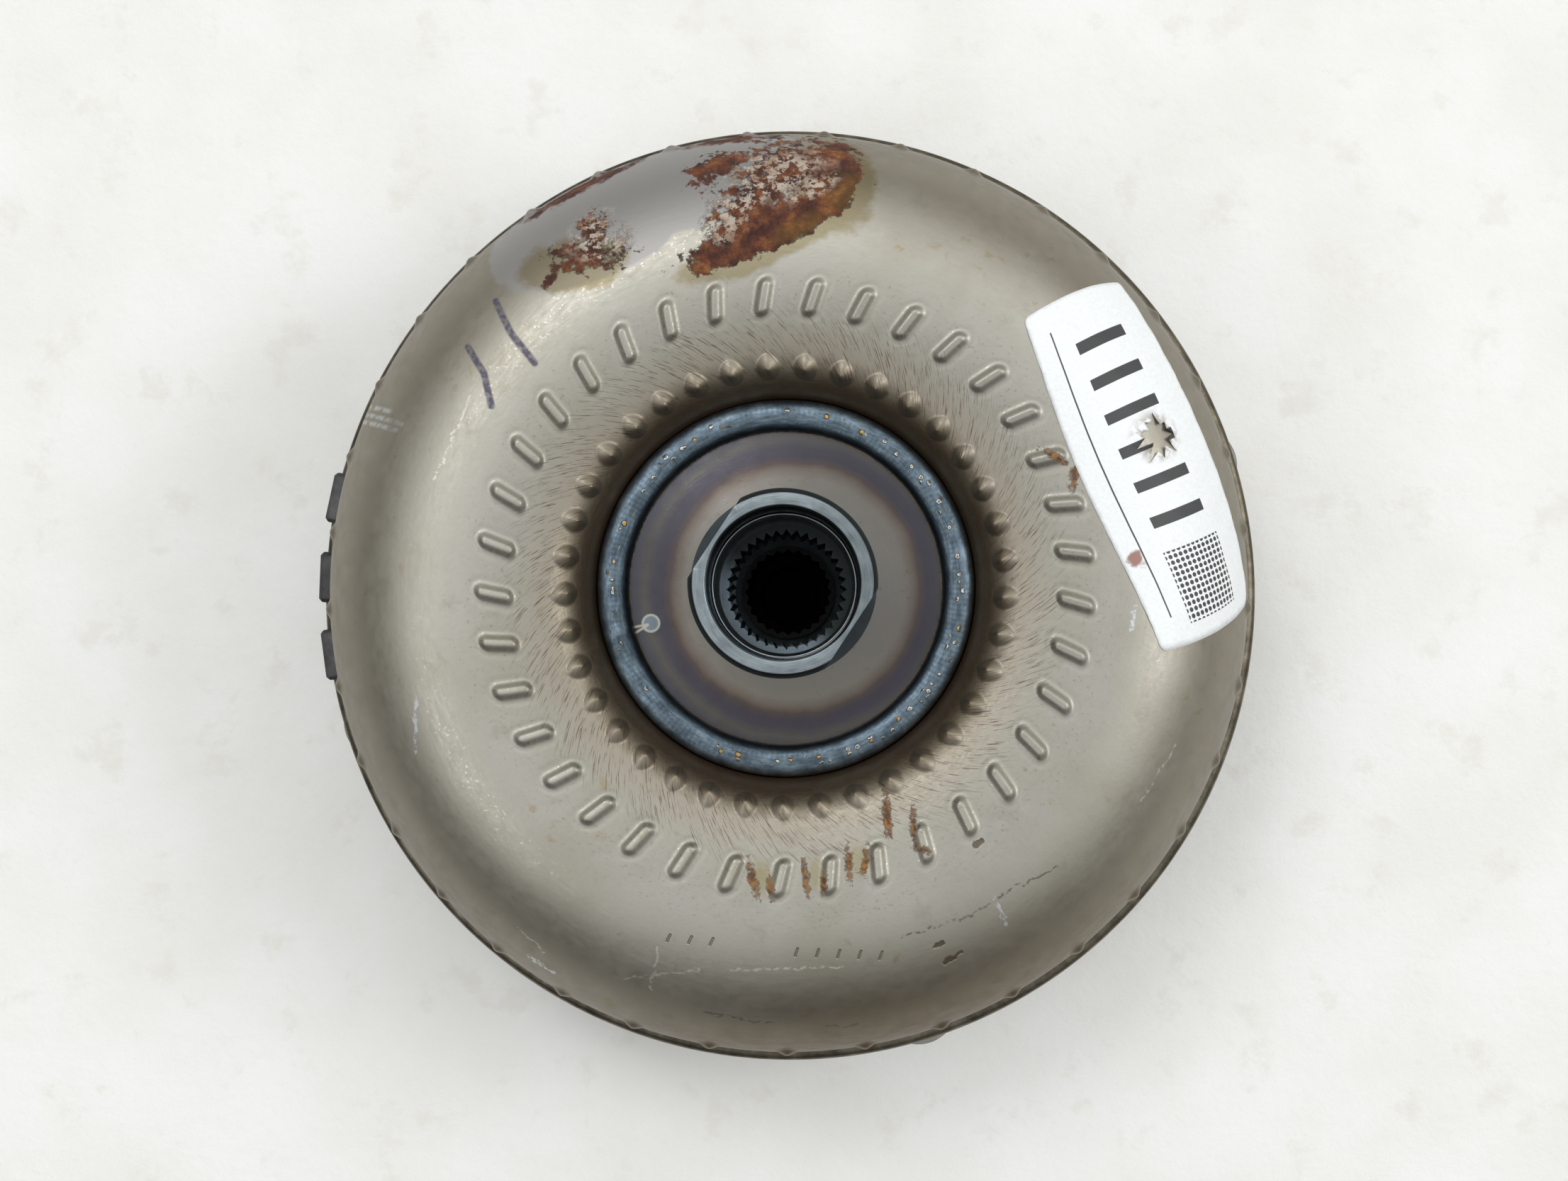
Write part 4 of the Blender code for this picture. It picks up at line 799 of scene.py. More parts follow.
# %% Pilot
pilot_low, pilot_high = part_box("pilot_boss")
PILOT_RADIUS = 0.020
PILOT_STEM = 0.0167
PILOT_BORE = 0.0081
PILOT_SHOULDER = 0.0077
PILOT_CHAMFER = 0.0008
PILOT_SKIN = 0.003
CENTRE_MARK = (0.0014, 0.0009)
pilot_floor = pilot_low.z + PILOT_SKIN
pilot_profile = softened([
    (0.0, pilot_floor), (PILOT_BORE, pilot_floor), (PILOT_BORE, pilot_high.z - BORE_CHAMFER),
    (PILOT_BORE + BORE_CHAMFER, pilot_high.z), (PILOT_STEM, pilot_high.z), (PILOT_STEM, PILOT_SHOULDER),
    (PILOT_RADIUS, PILOT_SHOULDER), (PILOT_RADIUS, pilot_low.z + PILOT_CHAMFER),
    (PILOT_RADIUS - PILOT_CHAMFER, pilot_low.z), (CENTRE_MARK[0], pilot_low.z),
    (0.0, pilot_low.z + CENTRE_MARK[1]),
], EDGE)
pilot = grid_piece(
    "turned_pilot", around_shaft(pilot_profile, 160), "housing", ["pilot_boss"], "machined_steel",
    closed_section=False, sharp=24.0,
)
print("pilot:", len(pilot.data.vertices), "points")

# %% [markdown]
# ## Drive bosses
#
# Each boss is a short bar welded against the cover's corner. From outside it is a round
# pad with a drilled and tapped hole, and higher up only a crescent of it stands clear of
# the cover. The solid of the working model gives the outline; here the bar is turned
# finely, its hole gets a thread, and the cover's own section is cut out of it.

# %% Boss with a threaded hole
BOSS_RADIUS = 0.011
BOSS_CIRCLE = 0.119
BOSS_BEARING = 17.4
HOLE_RADIUS = 0.0044
HOLE_DEPTH = 0.012
THREAD_PITCH = 0.0015
THREAD_DEPTH = 0.0006
THREAD_START = 0.0004
THREAD_FREE = 0.003
BOSS_CHAMFER = 0.0006
FOOT_CHAMFER = 0.0007
DRILL_POINT = 0.0025
boss_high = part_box("drive_boss_1")[1].z


def threaded_boss():
    """A bar on its own axis with a chamfered rim and a blind hole with thread grooves."""
    profile = [
        (0.0, boss_high), (BOSS_RADIUS - BOSS_CHAMFER, boss_high),
        (BOSS_RADIUS, boss_high - BOSS_CHAMFER), (BOSS_RADIUS, FOOT_CHAMFER),
        (BOSS_RADIUS - FOOT_CHAMFER, 0.0), (HOLE_RADIUS + THREAD_DEPTH, 0.0), (HOLE_RADIUS, THREAD_DEPTH),
    ]
    grooves = int((HOLE_DEPTH - THREAD_FREE) / THREAD_PITCH)
    for groove in range(grooves):
        base = THREAD_DEPTH + THREAD_START + groove * THREAD_PITCH
        profile += [
            (HOLE_RADIUS, base), (HOLE_RADIUS + THREAD_DEPTH, base + THREAD_PITCH * 0.42),
            (HOLE_RADIUS, base + THREAD_PITCH * 0.84),
        ]
    profile += [(HOLE_RADIUS, HOLE_DEPTH), (0.0, HOLE_DEPTH + DRILL_POINT)]
    return around_shaft(profile, 96)


cutter_line = np.array([p for p in cover_line if p[0] > DISH_RADIUS + 0.002])
cutter_normal = cover_normal[:len(cutter_line)]
cutter_line = cutter_line - 0.0003 * cutter_normal
cutter_profile = [(0.0, boss_high + 0.002), (cutter_line[0][0], boss_high + 0.002)]
cutter_profile += [tuple(p) for p in cutter_line if p[1] < boss_high + 0.001]
cutter_profile += [(0.0, cutter_line[-1][1])]
cutter = grid_piece(
    "cover_cutter", around_shaft(cutter_profile, COVER_COLUMNS), "housing", closed_section=False
)
for index in range(4):
    bearing = math.radians(BOSS_BEARING + 90.0 * index)
    grid = threaded_boss()
    grid[:, :, 0] += BOSS_CIRCLE * math.cos(bearing)
    grid[:, :, 1] += BOSS_CIRCLE * math.sin(bearing)
    boss = grid_piece(
        f"threaded_boss_{index + 1}", grid, "housing", [f"drive_boss_{index + 1}"], "machined_steel",
        closed_section=False, sharp=24.0,
    )
    cut = boss.modifiers.new("fit_to_cover", "BOOLEAN")
    cut.operation = "DIFFERENCE"
    cut.solver = "EXACT"
    cut.object = cutter
    bpy.context.view_layer.update()
    fitted = bpy.data.meshes.new_from_object(boss.evaluated_get(bpy.context.evaluated_depsgraph_get()))
    boss.modifiers.clear()
    boss.data = fitted
    print(boss.name, len(fitted.vertices), "points, lowest",
          round(min(v.co.z for v in fitted.vertices) / MM, 2), "mm")
bpy.data.objects.remove(cutter)

# %% [markdown]
# ## Balance weights
#
# Three black blocks on the rim bring the turning converter into balance. Each is a short
# bar with broad chamfers, and a second, much smaller bevel softens the edges they leave.

# %% Balance weights
WEIGHT_ANGLES = (168.3, 178.25, 187.9)
WEIGHT_SIZE = (0.0045, 0.0134, 0.0065)
WEIGHT_CHAMFER = 0.0009
WEIGHT_EDGE = 0.00012
for index, bearing in enumerate(WEIGHT_ANGLES):
    node = f"balance_weight_{index + 1}"
    low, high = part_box(node)
    bm = bmesh.new()
    size = Matrix.Diagonal((*WEIGHT_SIZE, 1.0))
    turn = Matrix.Rotation(math.radians(bearing), 4, "Z")
    place = Matrix.Translation(((low + high) / 2))
    bmesh.ops.create_cube(bm, size=1.0, matrix=size)
    for offset, segments in ((WEIGHT_CHAMFER, 1), (WEIGHT_EDGE, 2)):
        bmesh.ops.bevel(bm, geom=bm.edges[:], offset=offset, segments=segments, affect="EDGES")
    bmesh.ops.transform(bm, matrix=place @ turn, verts=bm.verts)
    block = bpy.data.meshes.new("chamfered_weight")
    bm.to_mesh(block)
    bm.free()
    place_mesh(f"chamfered_weight_{index + 1}", block, "housing", [node], "black_steel", sharp=20.0)
print("weights at", WEIGHT_ANGLES, "degrees")

# %% [markdown]
# ## The paper label
#
# A stock label was stuck over the crest and the outer slope, and something has torn a
# hole in it. Paper only bends, so it follows the dome like a strip. Its outline is drawn
# in two measures that suit the shell: the angle around the shaft and the length along the
# section. A triangulation that respects the outline and the torn edge fills it, and the
# same function that shaped the dimples lays each point on the steel.

# %% The label's outline
LABEL_THICKNESS = 0.00012
LABEL_LIFT = 0.00010
LABEL_GRAIN = 0.0011
# The label's own plane: u runs along its long side, v across it, both in metres.
LABEL_LONG = 0.0905
LABEL_WIDE = 0.0360
# Where its corners lie on the shell: (length along the section, angle in degrees)
LABEL_CORNERS = {
    (0, 0): (0.0722, 48.1),
    (1, 0): (0.0661, -10.0),
    (0, 1): (0.0387, 42.4),
    (1, 1): (0.0330, -1.5),
}
LABEL_INNER_BOW = 0.0135
LABEL_OUTER_BOW = 0.0090
CORNER_ROUND = 0.0016


def label_place(u, v):
    """Length along the section and angle for points of the label's plane, u and v from 0 to 1."""
    corner = {key: np.array(value) for key, value in LABEL_CORNERS.items()}
    inner = corner[0, 0] * (1 - u)[:, None] + corner[1, 0] * u[:, None]
    outer = corner[0, 1] * (1 - u)[:, None] + corner[1, 1] * u[:, None]
    spot = inner * (1 - v)[:, None] + outer * v[:, None]
    bow = 4 * u * (1 - u)
    spot[:, 0] += bow * (LABEL_INNER_BOW * (1 - v) + LABEL_OUTER_BOW * v)
    return spot[:, 0], np.radians(spot[:, 1])


def rounded_outline(long, wide, corner, steps=5):
    """A rectangle with rounded corners, as points in order."""
    points = []
    for cx, cy, start in ((long - corner, wide - corner, 0), (corner, wide - corner, 90),
                          (corner, corner, 180), (long - corner, corner, 270)):
        for step in range(steps + 1):
            a = math.radians(start + 90 * step / steps)
            points.append((cx + corner * math.cos(a), cy + corner * math.sin(a)))
    return points


def dense(points, spacing):
    """The same closed outline with points no further apart than spacing."""
    result = []
    for start, end in zip(points, points[1:] + points[:1]):
        start, end = Vector(start), Vector(end)
        count = max(1, math.ceil((end - start).length / spacing))
        result += [start.lerp(end, step / count) for step in range(count)]
    return result


TEAR_PLACE = (0.0415, 0.0205)
TEAR_POINTS = 9
TEAR_NEAR, TEAR_FAR = 0.0028, 0.0052
TEAR_STRETCH = 1.15
TEAR_GRAIN = 0.0007
EDGE_FRAY = 0.00008
tear_rng = random.Random(11)
tear = []
for index in range(TEAR_POINTS * 2):
    a = math.tau * index / (TEAR_POINTS * 2)
    reach = (TEAR_NEAR if index % 2 else TEAR_FAR) * tear_rng.uniform(0.75, 1.3)
    tear.append((TEAR_PLACE[0] + TEAR_STRETCH * reach * math.cos(a), TEAR_PLACE[1] + reach * math.sin(a)))

outline = dense(rounded_outline(LABEL_LONG, LABEL_WIDE, CORNER_ROUND), LABEL_GRAIN)
edge_rng = random.Random(5)
outline = [Vector((p.x, p.y + (edge_rng.uniform(-1, 1) * EDGE_FRAY))) for p in outline]
tear_line = dense(tear, TEAR_GRAIN)
print("label outline:", len(outline), "points; torn edge:", len(tear_line))

# %% Filling the label and laying it on the shell
def filled(outline, holes, spacing, seed):
    """Triangles inside an outline and outside its holes, with evenly scattered inner points."""
    rng = random.Random(seed)
    points = [Vector(p) for p in outline]
    loops = [list(range(len(points)))]
    for hole in holes:
        loops.append(list(range(len(points), len(points) + len(hole))))
        points += [Vector(p) for p in hole]
    edges = [(loop[i], loop[(i + 1) % len(loop)]) for loop in loops for i in range(len(loop))]
    low = Vector((min(p.x for p in outline), min(p.y for p in outline)))
    high = Vector((max(p.x for p in outline), max(p.y for p in outline)))
    x = low.x + spacing
    while x < high.x - spacing / 2:
        y = low.y + spacing
        while y < high.y - spacing / 2:
            shift = [rng.uniform(-0.2, 0.2) * spacing for _ in "xy"]
            points.append(Vector((x + shift[0], y + shift[1])))
            y += spacing
        x += spacing
    made = delaunay_2d_cdt(points, edges, [], 0, 1e-7)
    vertices, triangles = made[0], made[2]

    def inside(point, polygon):
        odd = False
        for start, end in zip(polygon, polygon[1:] + polygon[:1]):
            if (start[1] > point.y) != (end[1] > point.y):
                cross = start[0] + (point.y - start[1]) * (end[0] - start[0]) / (end[1] - start[1])
                odd ^= point.x < cross
        return odd

    kept = []
    for triangle in triangles:
        middle = sum((vertices[i] for i in triangle), Vector((0, 0))) / 3
        if inside(middle, outline) and not any(inside(middle, hole) for hole in holes):
            kept.append(triangle)
    return [tuple(v) for v in vertices], kept


def on_shell(plane_points, lift):
    """Points of the label's plane laid on the dimpled shell."""
    plane = np.array(plane_points)
    length, angle = label_place(plane[:, 0] / LABEL_LONG, plane[:, 1] / LABEL_WIDE)
    radius = section(length)[0]
    from_first = angle - blade_trace(radius)
    offset = (from_first + PITCH / 2) % PITCH - PITCH / 2
    return shell_points(length, from_first, offset, lift)


CURL_HIGH = 0.0011
CURL_FROM, CURL_WIDE = 0.0030, 0.0042
BUCKLE_HIGH = 0.00012
label_plane, label_faces = filled(outline, [[tuple(p) for p in tear_line]], LABEL_GRAIN, 3)
label_plane = np.array(label_plane)
from_tear = np.hypot(label_plane[:, 0] - TEAR_PLACE[0], label_plane[:, 1] - TEAR_PLACE[1])
curl = CURL_HIGH * np.clip(1 - (from_tear - CURL_FROM) / CURL_WIDE, 0, 1) ** 2
buckle = BUCKLE_HIGH * np.sin(label_plane[:, 0] / 0.0031 + 3 * np.sin(label_plane[:, 1] / 0.006)) ** 2
lifted = on_shell(label_plane, LABEL_LIFT + curl + buckle)
label_mesh = bpy.data.meshes.new("stock_label")
label_mesh.from_pydata([tuple(p) for p in lifted], [], label_faces)
layer = label_mesh.uv_layers.new(name="paper")
for loop in label_mesh.loops:
    u, v = label_plane[loop.vertex_index]
    layer.data[loop.index].uv = (u / LABEL_LONG, v / LABEL_LONG)
label = bpy.data.objects.new("stock_label", label_mesh)
bpy.context.scene.collection.objects.link(label)
label_mesh.shade_smooth()
skin = label.modifiers.new("paper_thickness", "SOLIDIFY")
skin.thickness = LABEL_THICKNESS
skin.offset = 0.0
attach(label, "housing")
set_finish(label, "label_paper")
print("label:", len(label_faces), "triangles")

# %% [markdown]
# ## Pressed steel
#
# The shell is mild steel sheet, deep drawn, then left bare: a warm grey metal with a dull
# sheen. Three things colour it. Handling and oil make the outer slope and the skirt
# browner. Welding heat has burnt the inner slope to straw and then dark brown. And the
# press leaves the crest with a fine pebbled grain that catches the lamps. All of these
# follow the radius, so a ramp over the radius carries the base colour. The ramp also holds
# painted light: its lighter crest is partly a painted highlight, and its darker rim beside
# the floor is partly painted shade as well as browning.

# %% Pressed steel: colour by radius
pressed_steel, at, shader = new_material("drawn_mild_steel", 1.0, 0.40)
RAMP_START = 0.045
RAMP_END = 0.121
# The ramp is lighter on the crest, partly a painted highlight, and darker at the rim, partly painted shade.
ramp_place = at.spread(at.shaken(at.radius, 0.005, 0.018, detail=4.0), RAMP_START, RAMP_END)
steel = at.ramp(
    ramp_place,
    (0.00, "#735f4d"), (0.040, "#705e4c"), (0.075, "#726452"), (0.110, "#837969"), (0.16, "#979083"),
    (0.28, "#9f9c92"), (0.45, "#aba89f"), (0.66, "#aba79c"), (0.84, "#9a9487"), (1.00, "#7a7265"),
)

# %% Pressed steel: stains, grain and painted shade on the low side
PAINTED_SHADE_DIRECTION = (0.25, -0.97, 0.0)
PAINTED_SHADE_FROM, PAINTED_SHADE_TO = 0.080, 0.118
blotch = at.step(at.noise(0.034, detail=6.0, roughness=0.6), 0.42, 0.68)
oil = at.step(at.noise(0.012, detail=7.0, roughness=0.65), 0.58, 0.72)
straw = at.step(at.noise(0.0042, detail=4.0), 0.62, 0.72)
straw_area = at.step(at.noise(0.030), 0.50, 0.60)
steel = at.coat(steel, "#8f8877", blotch, 0.30)
steel = at.coat(steel, "#6f6554", oil, 0.20)
steel = at.coat(steel, "#94804a", straw, straw_area, 0.40)
# Painted shade: the outer slope on the low side is darkened to brown.
steel = at.coat(steel, "#62523d", at.facing(PAINTED_SHADE_DIRECTION, PAINTED_SHADE_FROM, PAINTED_SHADE_TO), 0.65)

# Dark hairlines left by the blank holder; they slant across the inner slope.
HAIRLINE_WIDE = 0.00042
HAIRLINE_LONG = 0.0045
HAIRLINE_SLANT = -14.0
hairs = at.step(at.grain(HAIRLINE_WIDE, HAIRLINE_LONG, 2.0, HAIRLINE_SLANT), 0.56, 0.66)
hair_zone = at.band(at.radius, (0.050, 0.054), (0.072, 0.062))
steel = at.coat(steel, "#5a4a3b", hairs, hair_zone, 0.80)

# %% [markdown]
# ## Marks of use
#
# A converter that has been on shelves and benches carries straight scratches, a few dents
# from a punch and strokes of a felt pen. Each of these is the distance to a short line in
# the plane of the floor, compared with half the width of the mark. Shaking the coordinates
# with a noise first makes a line ragged like a real scrape.

# %% Scratches and pen strokes
SHAKE = 0.0030


def marked(lines, wide, vector=None, soft=0.4):
    """1 on any of the lines, fading over a share of their width; places in millimetres."""
    away = [at.line(*([c * MM for c in place] for place in line), vector) for line in lines]
    return at.step(at.joined("MINIMUM", *away), wide / 2 * (1 + soft), wide / 2 * (1 - soft))


jitter = at.vector("SUBTRACT", at.noise(SHAKE, 4.0, 0.5, output="Color"), (0.5, 0.5, 0.5))
shaky = at.vector("ADD", at.flat, at.vector("MULTIPLY", jitter, (SHAKE, SHAKE, 0.0)))
worn = at.step(at.noise(0.0012), 0.40, 0.56)
skipped = at.step(at.noise(0.0030, detail=6.0), 0.36, 0.56)
on_top = at.step(at.radius, 0.1192, 0.1183)

SCRAPES = [
    ((-111.5, 46.0), (-95.0, 40.4)), ((-110.0, 43.4), (-96.5, 38.9)), ((-112.5, 48.6), (-98.5, 43.9)),
]
BRIGHT_SCRATCHES = [
    ((-90.1, -27.5), (-90.6, -40.5)), ((84.5, -5.0), (83.5, -11.0)), ((54.0, -82.0), (50.5, -75.0)),
    ((-64.0, -92.0), (-58.0, -96.5)),
]
FINE_SCRATCHES = [
    ((-76.8, 46.5), (-85.3, 26.4)), ((-40.0, -96.0), (-21.0, -93.0)), ((-13.0, -93.0), (14.0, -92.0)),
    ((-33.0, -99.0), (-30.5, -88.0)), ((86.0, -54.0), (96.0, -38.0)), ((-66.0, -84.0), (-60.0, -90.0)),
]
DARK_SCRATCHES = [
    ((28.3, -84.7), (45.0, -79.5)), ((45.0, -79.5), (55.0, -73.0)), ((55.0, -73.0), (66.5, -68.0)),
    ((72.0, 36.0), (79.5, 31.0)), ((-20.0, -104.5), (-3.0, -107.5)), ((10.0, -108.5), (18.0, -108.0)),
]
DENTS = [((38.7, -91.2), (43.0, -88.8)), ((36.6, -87.2), (38.2, -86.4)), ((46.0, -63.0), (47.6, -61.4))]
PUNCH_ROWS = [((-28.4 + 5.2 * i, -86.0 - 0.4 * i), (-27.6 + 5.2 * i, -84.4 - 0.4 * i)) for i in range(3)]
PUNCH_ROWS += [((2.6 + 5.1 * i, -89.4 - 0.2 * i), (3.2 + 5.1 * i, -87.6 - 0.2 * i)) for i in range(5)]
PEN_STROKES = [
    ((-71.5, 70.6), (-67.0, 62.0)), ((-67.0, 62.0), (-61.0, 54.5)),
    ((-78.0, 59.0), (-73.5, 52.0)), ((-73.5, 52.0), (-71.5, 44.0)),
]
dents = marked(DENTS, 0.0012, shaky)
punched = marked(PUNCH_ROWS, 0.0006)
pen = at.product(marked(PEN_STROKES, 0.0017), at.spread(worn, start=0.62, end=0.92))
steel = at.coat(steel, "#d3d8df", marked(BRIGHT_SCRATCHES, 0.0009, shaky), worn, on_top, 0.75)
steel = at.coat(steel, "#cfd6da", marked(SCRAPES, 0.0011, soft=0.8), skipped, on_top, 0.6)
steel = at.coat(steel, "#d8d3c6", marked(FINE_SCRATCHES, 0.0006, shaky), worn, on_top, 0.65)
steel = at.coat(steel, "#5d5a55", marked(DARK_SCRATCHES, 0.0006, shaky), worn, 0.70)
steel = at.coat(steel, "#4d4029", dents, 0.75)
steel = at.coat(steel, "#625a4c", punched, 0.60)
steel = at.coat(steel, "#3d3a52", pen)
print("marks:", len(SCRAPES + BRIGHT_SCRATCHES + FINE_SCRATCHES + DARK_SCRATCHES), "scratches")

# %% [markdown]
# ## Rust
#
# Water has stood on the upper edge. Where it dried the steel is etched to a smooth, cool
# grey with a yellowish fringe, and in it sit scabs of rust: dark brown where thick, orange
# where thin, with pale flakes of what was lifted off. The outline of each scab is a few
# ellipses that a noise eats into, and noises of different size give the layers. The
# distance to the ellipses is smooth, so it is kept at the vertices of the fine mesh, and
# the material only has to roughen it.

# %% Rust and the etched patch
FAR_AWAY = 6.0
shell_places = np.empty(len(shell.data.vertices) * 3)
shell.data.vertices.foreach_get("co", shell_places)
shell_places = shell_places.reshape(-1, 3)[:, :2] / MM


def kept_distance(name, ellipses):
    """Distance from the nearest ellipse, where 1 lies on its edge; kept on the shell's vertices.

    An ellipse is (centre, half sizes, turn in degrees), in millimetres.
    """
    nearest = np.full(len(shell_places), FAR_AWAY)
    for centre, half_size, turn in ellipses:
        turn = math.radians(turn)
        along = (shell_places - centre) @ (math.cos(turn), math.sin(turn)) / half_size[0]
        across = (shell_places - centre) @ (-math.sin(turn), math.cos(turn)) / half_size[1]
        nearest = np.minimum(nearest, np.hypot(along, across))
    kept = shell.data.attributes.new(name, "FLOAT", "POINT")
    kept.data.foreach_set("value", (FAR_AWAY - nearest).astype(np.float32))
    return at.math("SUBTRACT", FAR_AWAY, at.add("Attribute", output="Fac", attribute_name=name))


def eaten(name, ellipses, size, strength, low, high):
    """1 inside any of the ellipses, with a ragged edge bitten by noise."""
    ragged = at.shaken(kept_distance(name, ellipses), strength, size, detail=8.0, roughness=0.68)
    return at.step(ragged, high, low)


# The etched patch and its yellow fringe
ETCHED = [((-48, 92), (31, 18), 24.0), ((-20, 103), (27, 16), 14.0)]
FRINGE = [((13, 100), (10.5, 15), 5.0), ((-4, 84.5), (26, 6.5), 24.0), ((-52, 79), (15, 8), 5.0)]
etched = eaten("etched", ETCHED, 0.016, 0.5, 0.90, 0.98)
fringe = eaten("fringe", FRINGE, 0.008, 0.9, 0.75, 1.05)
steel = at.coat(steel, "#a5a3a2", etched, 0.90)
steel = at.coat(steel, "#7f7040", fringe, 0.60)

# The scabs: ellipses, the size and the strength of the bites, and where the edge fades
SCABS = {
    "dense_rust": ([((-5, 86.5), (26, 5.6), 24.5), ((12, 102.5), (7.5, 11.5), -12.0)],
                   0.0060, 1.5, 0.84, 0.94),
    "broken_rust": ([((-1, 103), (17, 11), 32.0), ((-7, 93), (14, 8), 40.0), ((-17, 105), (9, 5), 20.0)],
                    0.0032, 3.6, 0.66, 0.90),
    "left_rust": ([((-48, 81), (11.5, 5.0), 2.0), ((-47, 88), (5.0, 6.5), 0.0), ((-58, 75), (4, 1.6), 40.0)],
                  0.0034, 3.6, 0.55, 0.85),
    "rim_rust": ([((-53, 102), (23, 2.6), 28.0), ((-14, 115), (17, 2.4), 7.0)], 0.0050, 2.6, 0.45, 1.00),
}
OLIVE = [((15, 97), (7, 9), -20.0), ((4, 88.0), (12, 3.5), 28.0)]
scabs = at.highest(*(eaten(name, *recipe) for name, recipe in SCABS.items()))
rust_tone = at.ramp(
    at.noise(0.0050, detail=7.0, roughness=0.7),
    (0.32, "#2a150f"), (0.43, "#432219"), (0.52, "#5b3220"), (0.60, "#774727"), (0.70, "#95683a"),
)
rust_tone = at.coat(rust_tone, "#5f4818", eaten("olive", OLIVE, 0.004, 1.6, 0.3, 1.0), 0.45)

# What the rust has lifted off lies on it and around it as pale flakes.
FLAKED = [((-3, 102), (17, 10), 25.0), ((-14, 91), (10, 7), 55.0), ((7, 98), (9, 3.5), 30.0),
          ((-46, 86), (10, 9), 0.0)]
flaked = eaten("flaked", FLAKED, 0.006, 1.2, 0.4, 1.0)
flakes = at.product(at.step(at.noise(0.0024, detail=7.0, roughness=0.75), 0.48, 0.54), flaked)
flake_tone = at.blend(at.step(at.noise(0.0040), 0.40, 0.60), "#a08a76", "#c0b6a8")

# Small runs of rust beside some dimples, and the brown film that they left
RUNS = [
    ((-7.6, -71.0), (1.0, 4.4), 14.0), ((-3.4, -72.8), (0.8, 3.0), 10.0), ((5.2, -70.5), (0.9, 4.2), 6.0),
    ((9.6, -72.0), (0.8, 2.6), -4.0), ((15.6, -67.2), (0.9, 4.2), 4.0), ((19.4, -67.0), (0.8, 3.8), -8.0),
    ((25.0, -56.5), (1.0, 5.4), 6.0), ((31.2, -58.5), (0.8, 4.6), 2.0), ((33.2, -63.5), (2.2, 0.9), -20.0),
    ((66.0, 31.0), (0.9, 3.6), 60.0), ((70.3, 26.5), (1.0, 3.8), -10.0),
]
FILMS = [((-5.2, -70.4), (3.0, 5.0), 12.0), ((7.6, -70.0), (3.0, 5.0), 4.0), ((18.0, -66.5), (3.0, 5.2), 0.0)]
runs = eaten("runs", RUNS, 0.0013, 4.0, 0.35, 1.30)
run_tone = at.blend(at.step(at.noise(0.0016), 0.42, 0.58), "#5a3416", "#9a6a30")
steel = at.coat(steel, "#8f8354", eaten("films", FILMS, 0.0030, 1.0, 0.3, 1.1), 0.45)
steel = at.coat(steel, run_tone, runs, 0.90)
steel = at.coat(steel, rust_tone, scabs)
steel = at.coat(steel, flake_tone, flakes, 0.85)
rust = at.highest(scabs, at.product(runs, 0.7), flakes)
print("rust drawn with", len(at.tree.nodes), "nodes so far")

# %% Pressed steel: the shader
BARE_METALLIC = 0.88
ETCHED_ROUGH = 0.54
RUST_ROUGH = 0.88
GLINT_ROUGH = 0.31
PEBBLE = 0.0013
GRAIN_DEPTH = 0.00003
PUNCH_DEPTH = 0.00015
SCAB_HEIGHT = 0.00035
bare = at.spread(at.highest(rust, pen), start=BARE_METALLIC, end=0.0)
rough = at.spread(at.grain(0.0030, 0.0007), 0.3, 0.7, 0.41, 0.52)
glint_zone = at.band(at.radius, (0.056, 0.062), (0.104, 0.090))
glints = at.product(at.step(at.noise(0.0009, detail=2.0), 0.60, 0.70), glint_zone)
for mask, level in ((glints, GLINT_ROUGH), (etched, ETCHED_ROUGH), (rust, RUST_ROUGH)):
    rough = at.add("Mix", {0: mask, 2: rough, 3: level}, data_type="FLOAT")
relief = at.bump(at.noise(PEBBLE, roughness=0.6), GRAIN_DEPTH)
relief = at.bump(at.grain(0.0200, 0.0005, 2.0), GRAIN_DEPTH * 0.4, relief)
relief = at.bump(at.product(at.highest(dents, punched), -1.0), PUNCH_DEPTH, relief)
relief = at.bump(at.product(rust, at.noise(0.0016, detail=6.0)), SCAB_HEIGHT, relief)
connect(shader, {"Base Color": steel, "Metallic": bare, "Roughness": rough, "Normal": relief})
print("pressed steel:", len(at.tree.nodes), "nodes")

# %% [markdown]
# ## Blued weld steel
#
# An arc weld that cools in air grows a thin blue-grey oxide skin, streaked along the bead.
# A darker band at its inner toe is painted shade of the valley beside the flange. Small
# beads of slag cling to its ridge: glassy, some of them golden. They are drawn as rare
# cells of a Voronoi pattern. The weld round the seam has been in the weather and is a dull
# brown grey.

# %% Weld steel
SLAG_CELL = 0.0022
weld_steel, at, shader = new_material("oxidised_weld_steel", 1.0, 0.42)
cloud = at.noise(0.006, detail=6.0, roughness=0.65)
streaky = at.product(at.math("ADD", cloud, at.grain(0.0060, 0.0007, 4.0)), 0.5)
blue = at.ramp(streaky, (0.34, "#434e57"), (0.46, "#55626c"), (0.56, "#687782"), (0.70, "#8797a3"))
across_bead = at.spread(at.radius, WELD_INNER, WELD_OUTER)
in_hub = at.step(at.radius, 0.055, 0.050)
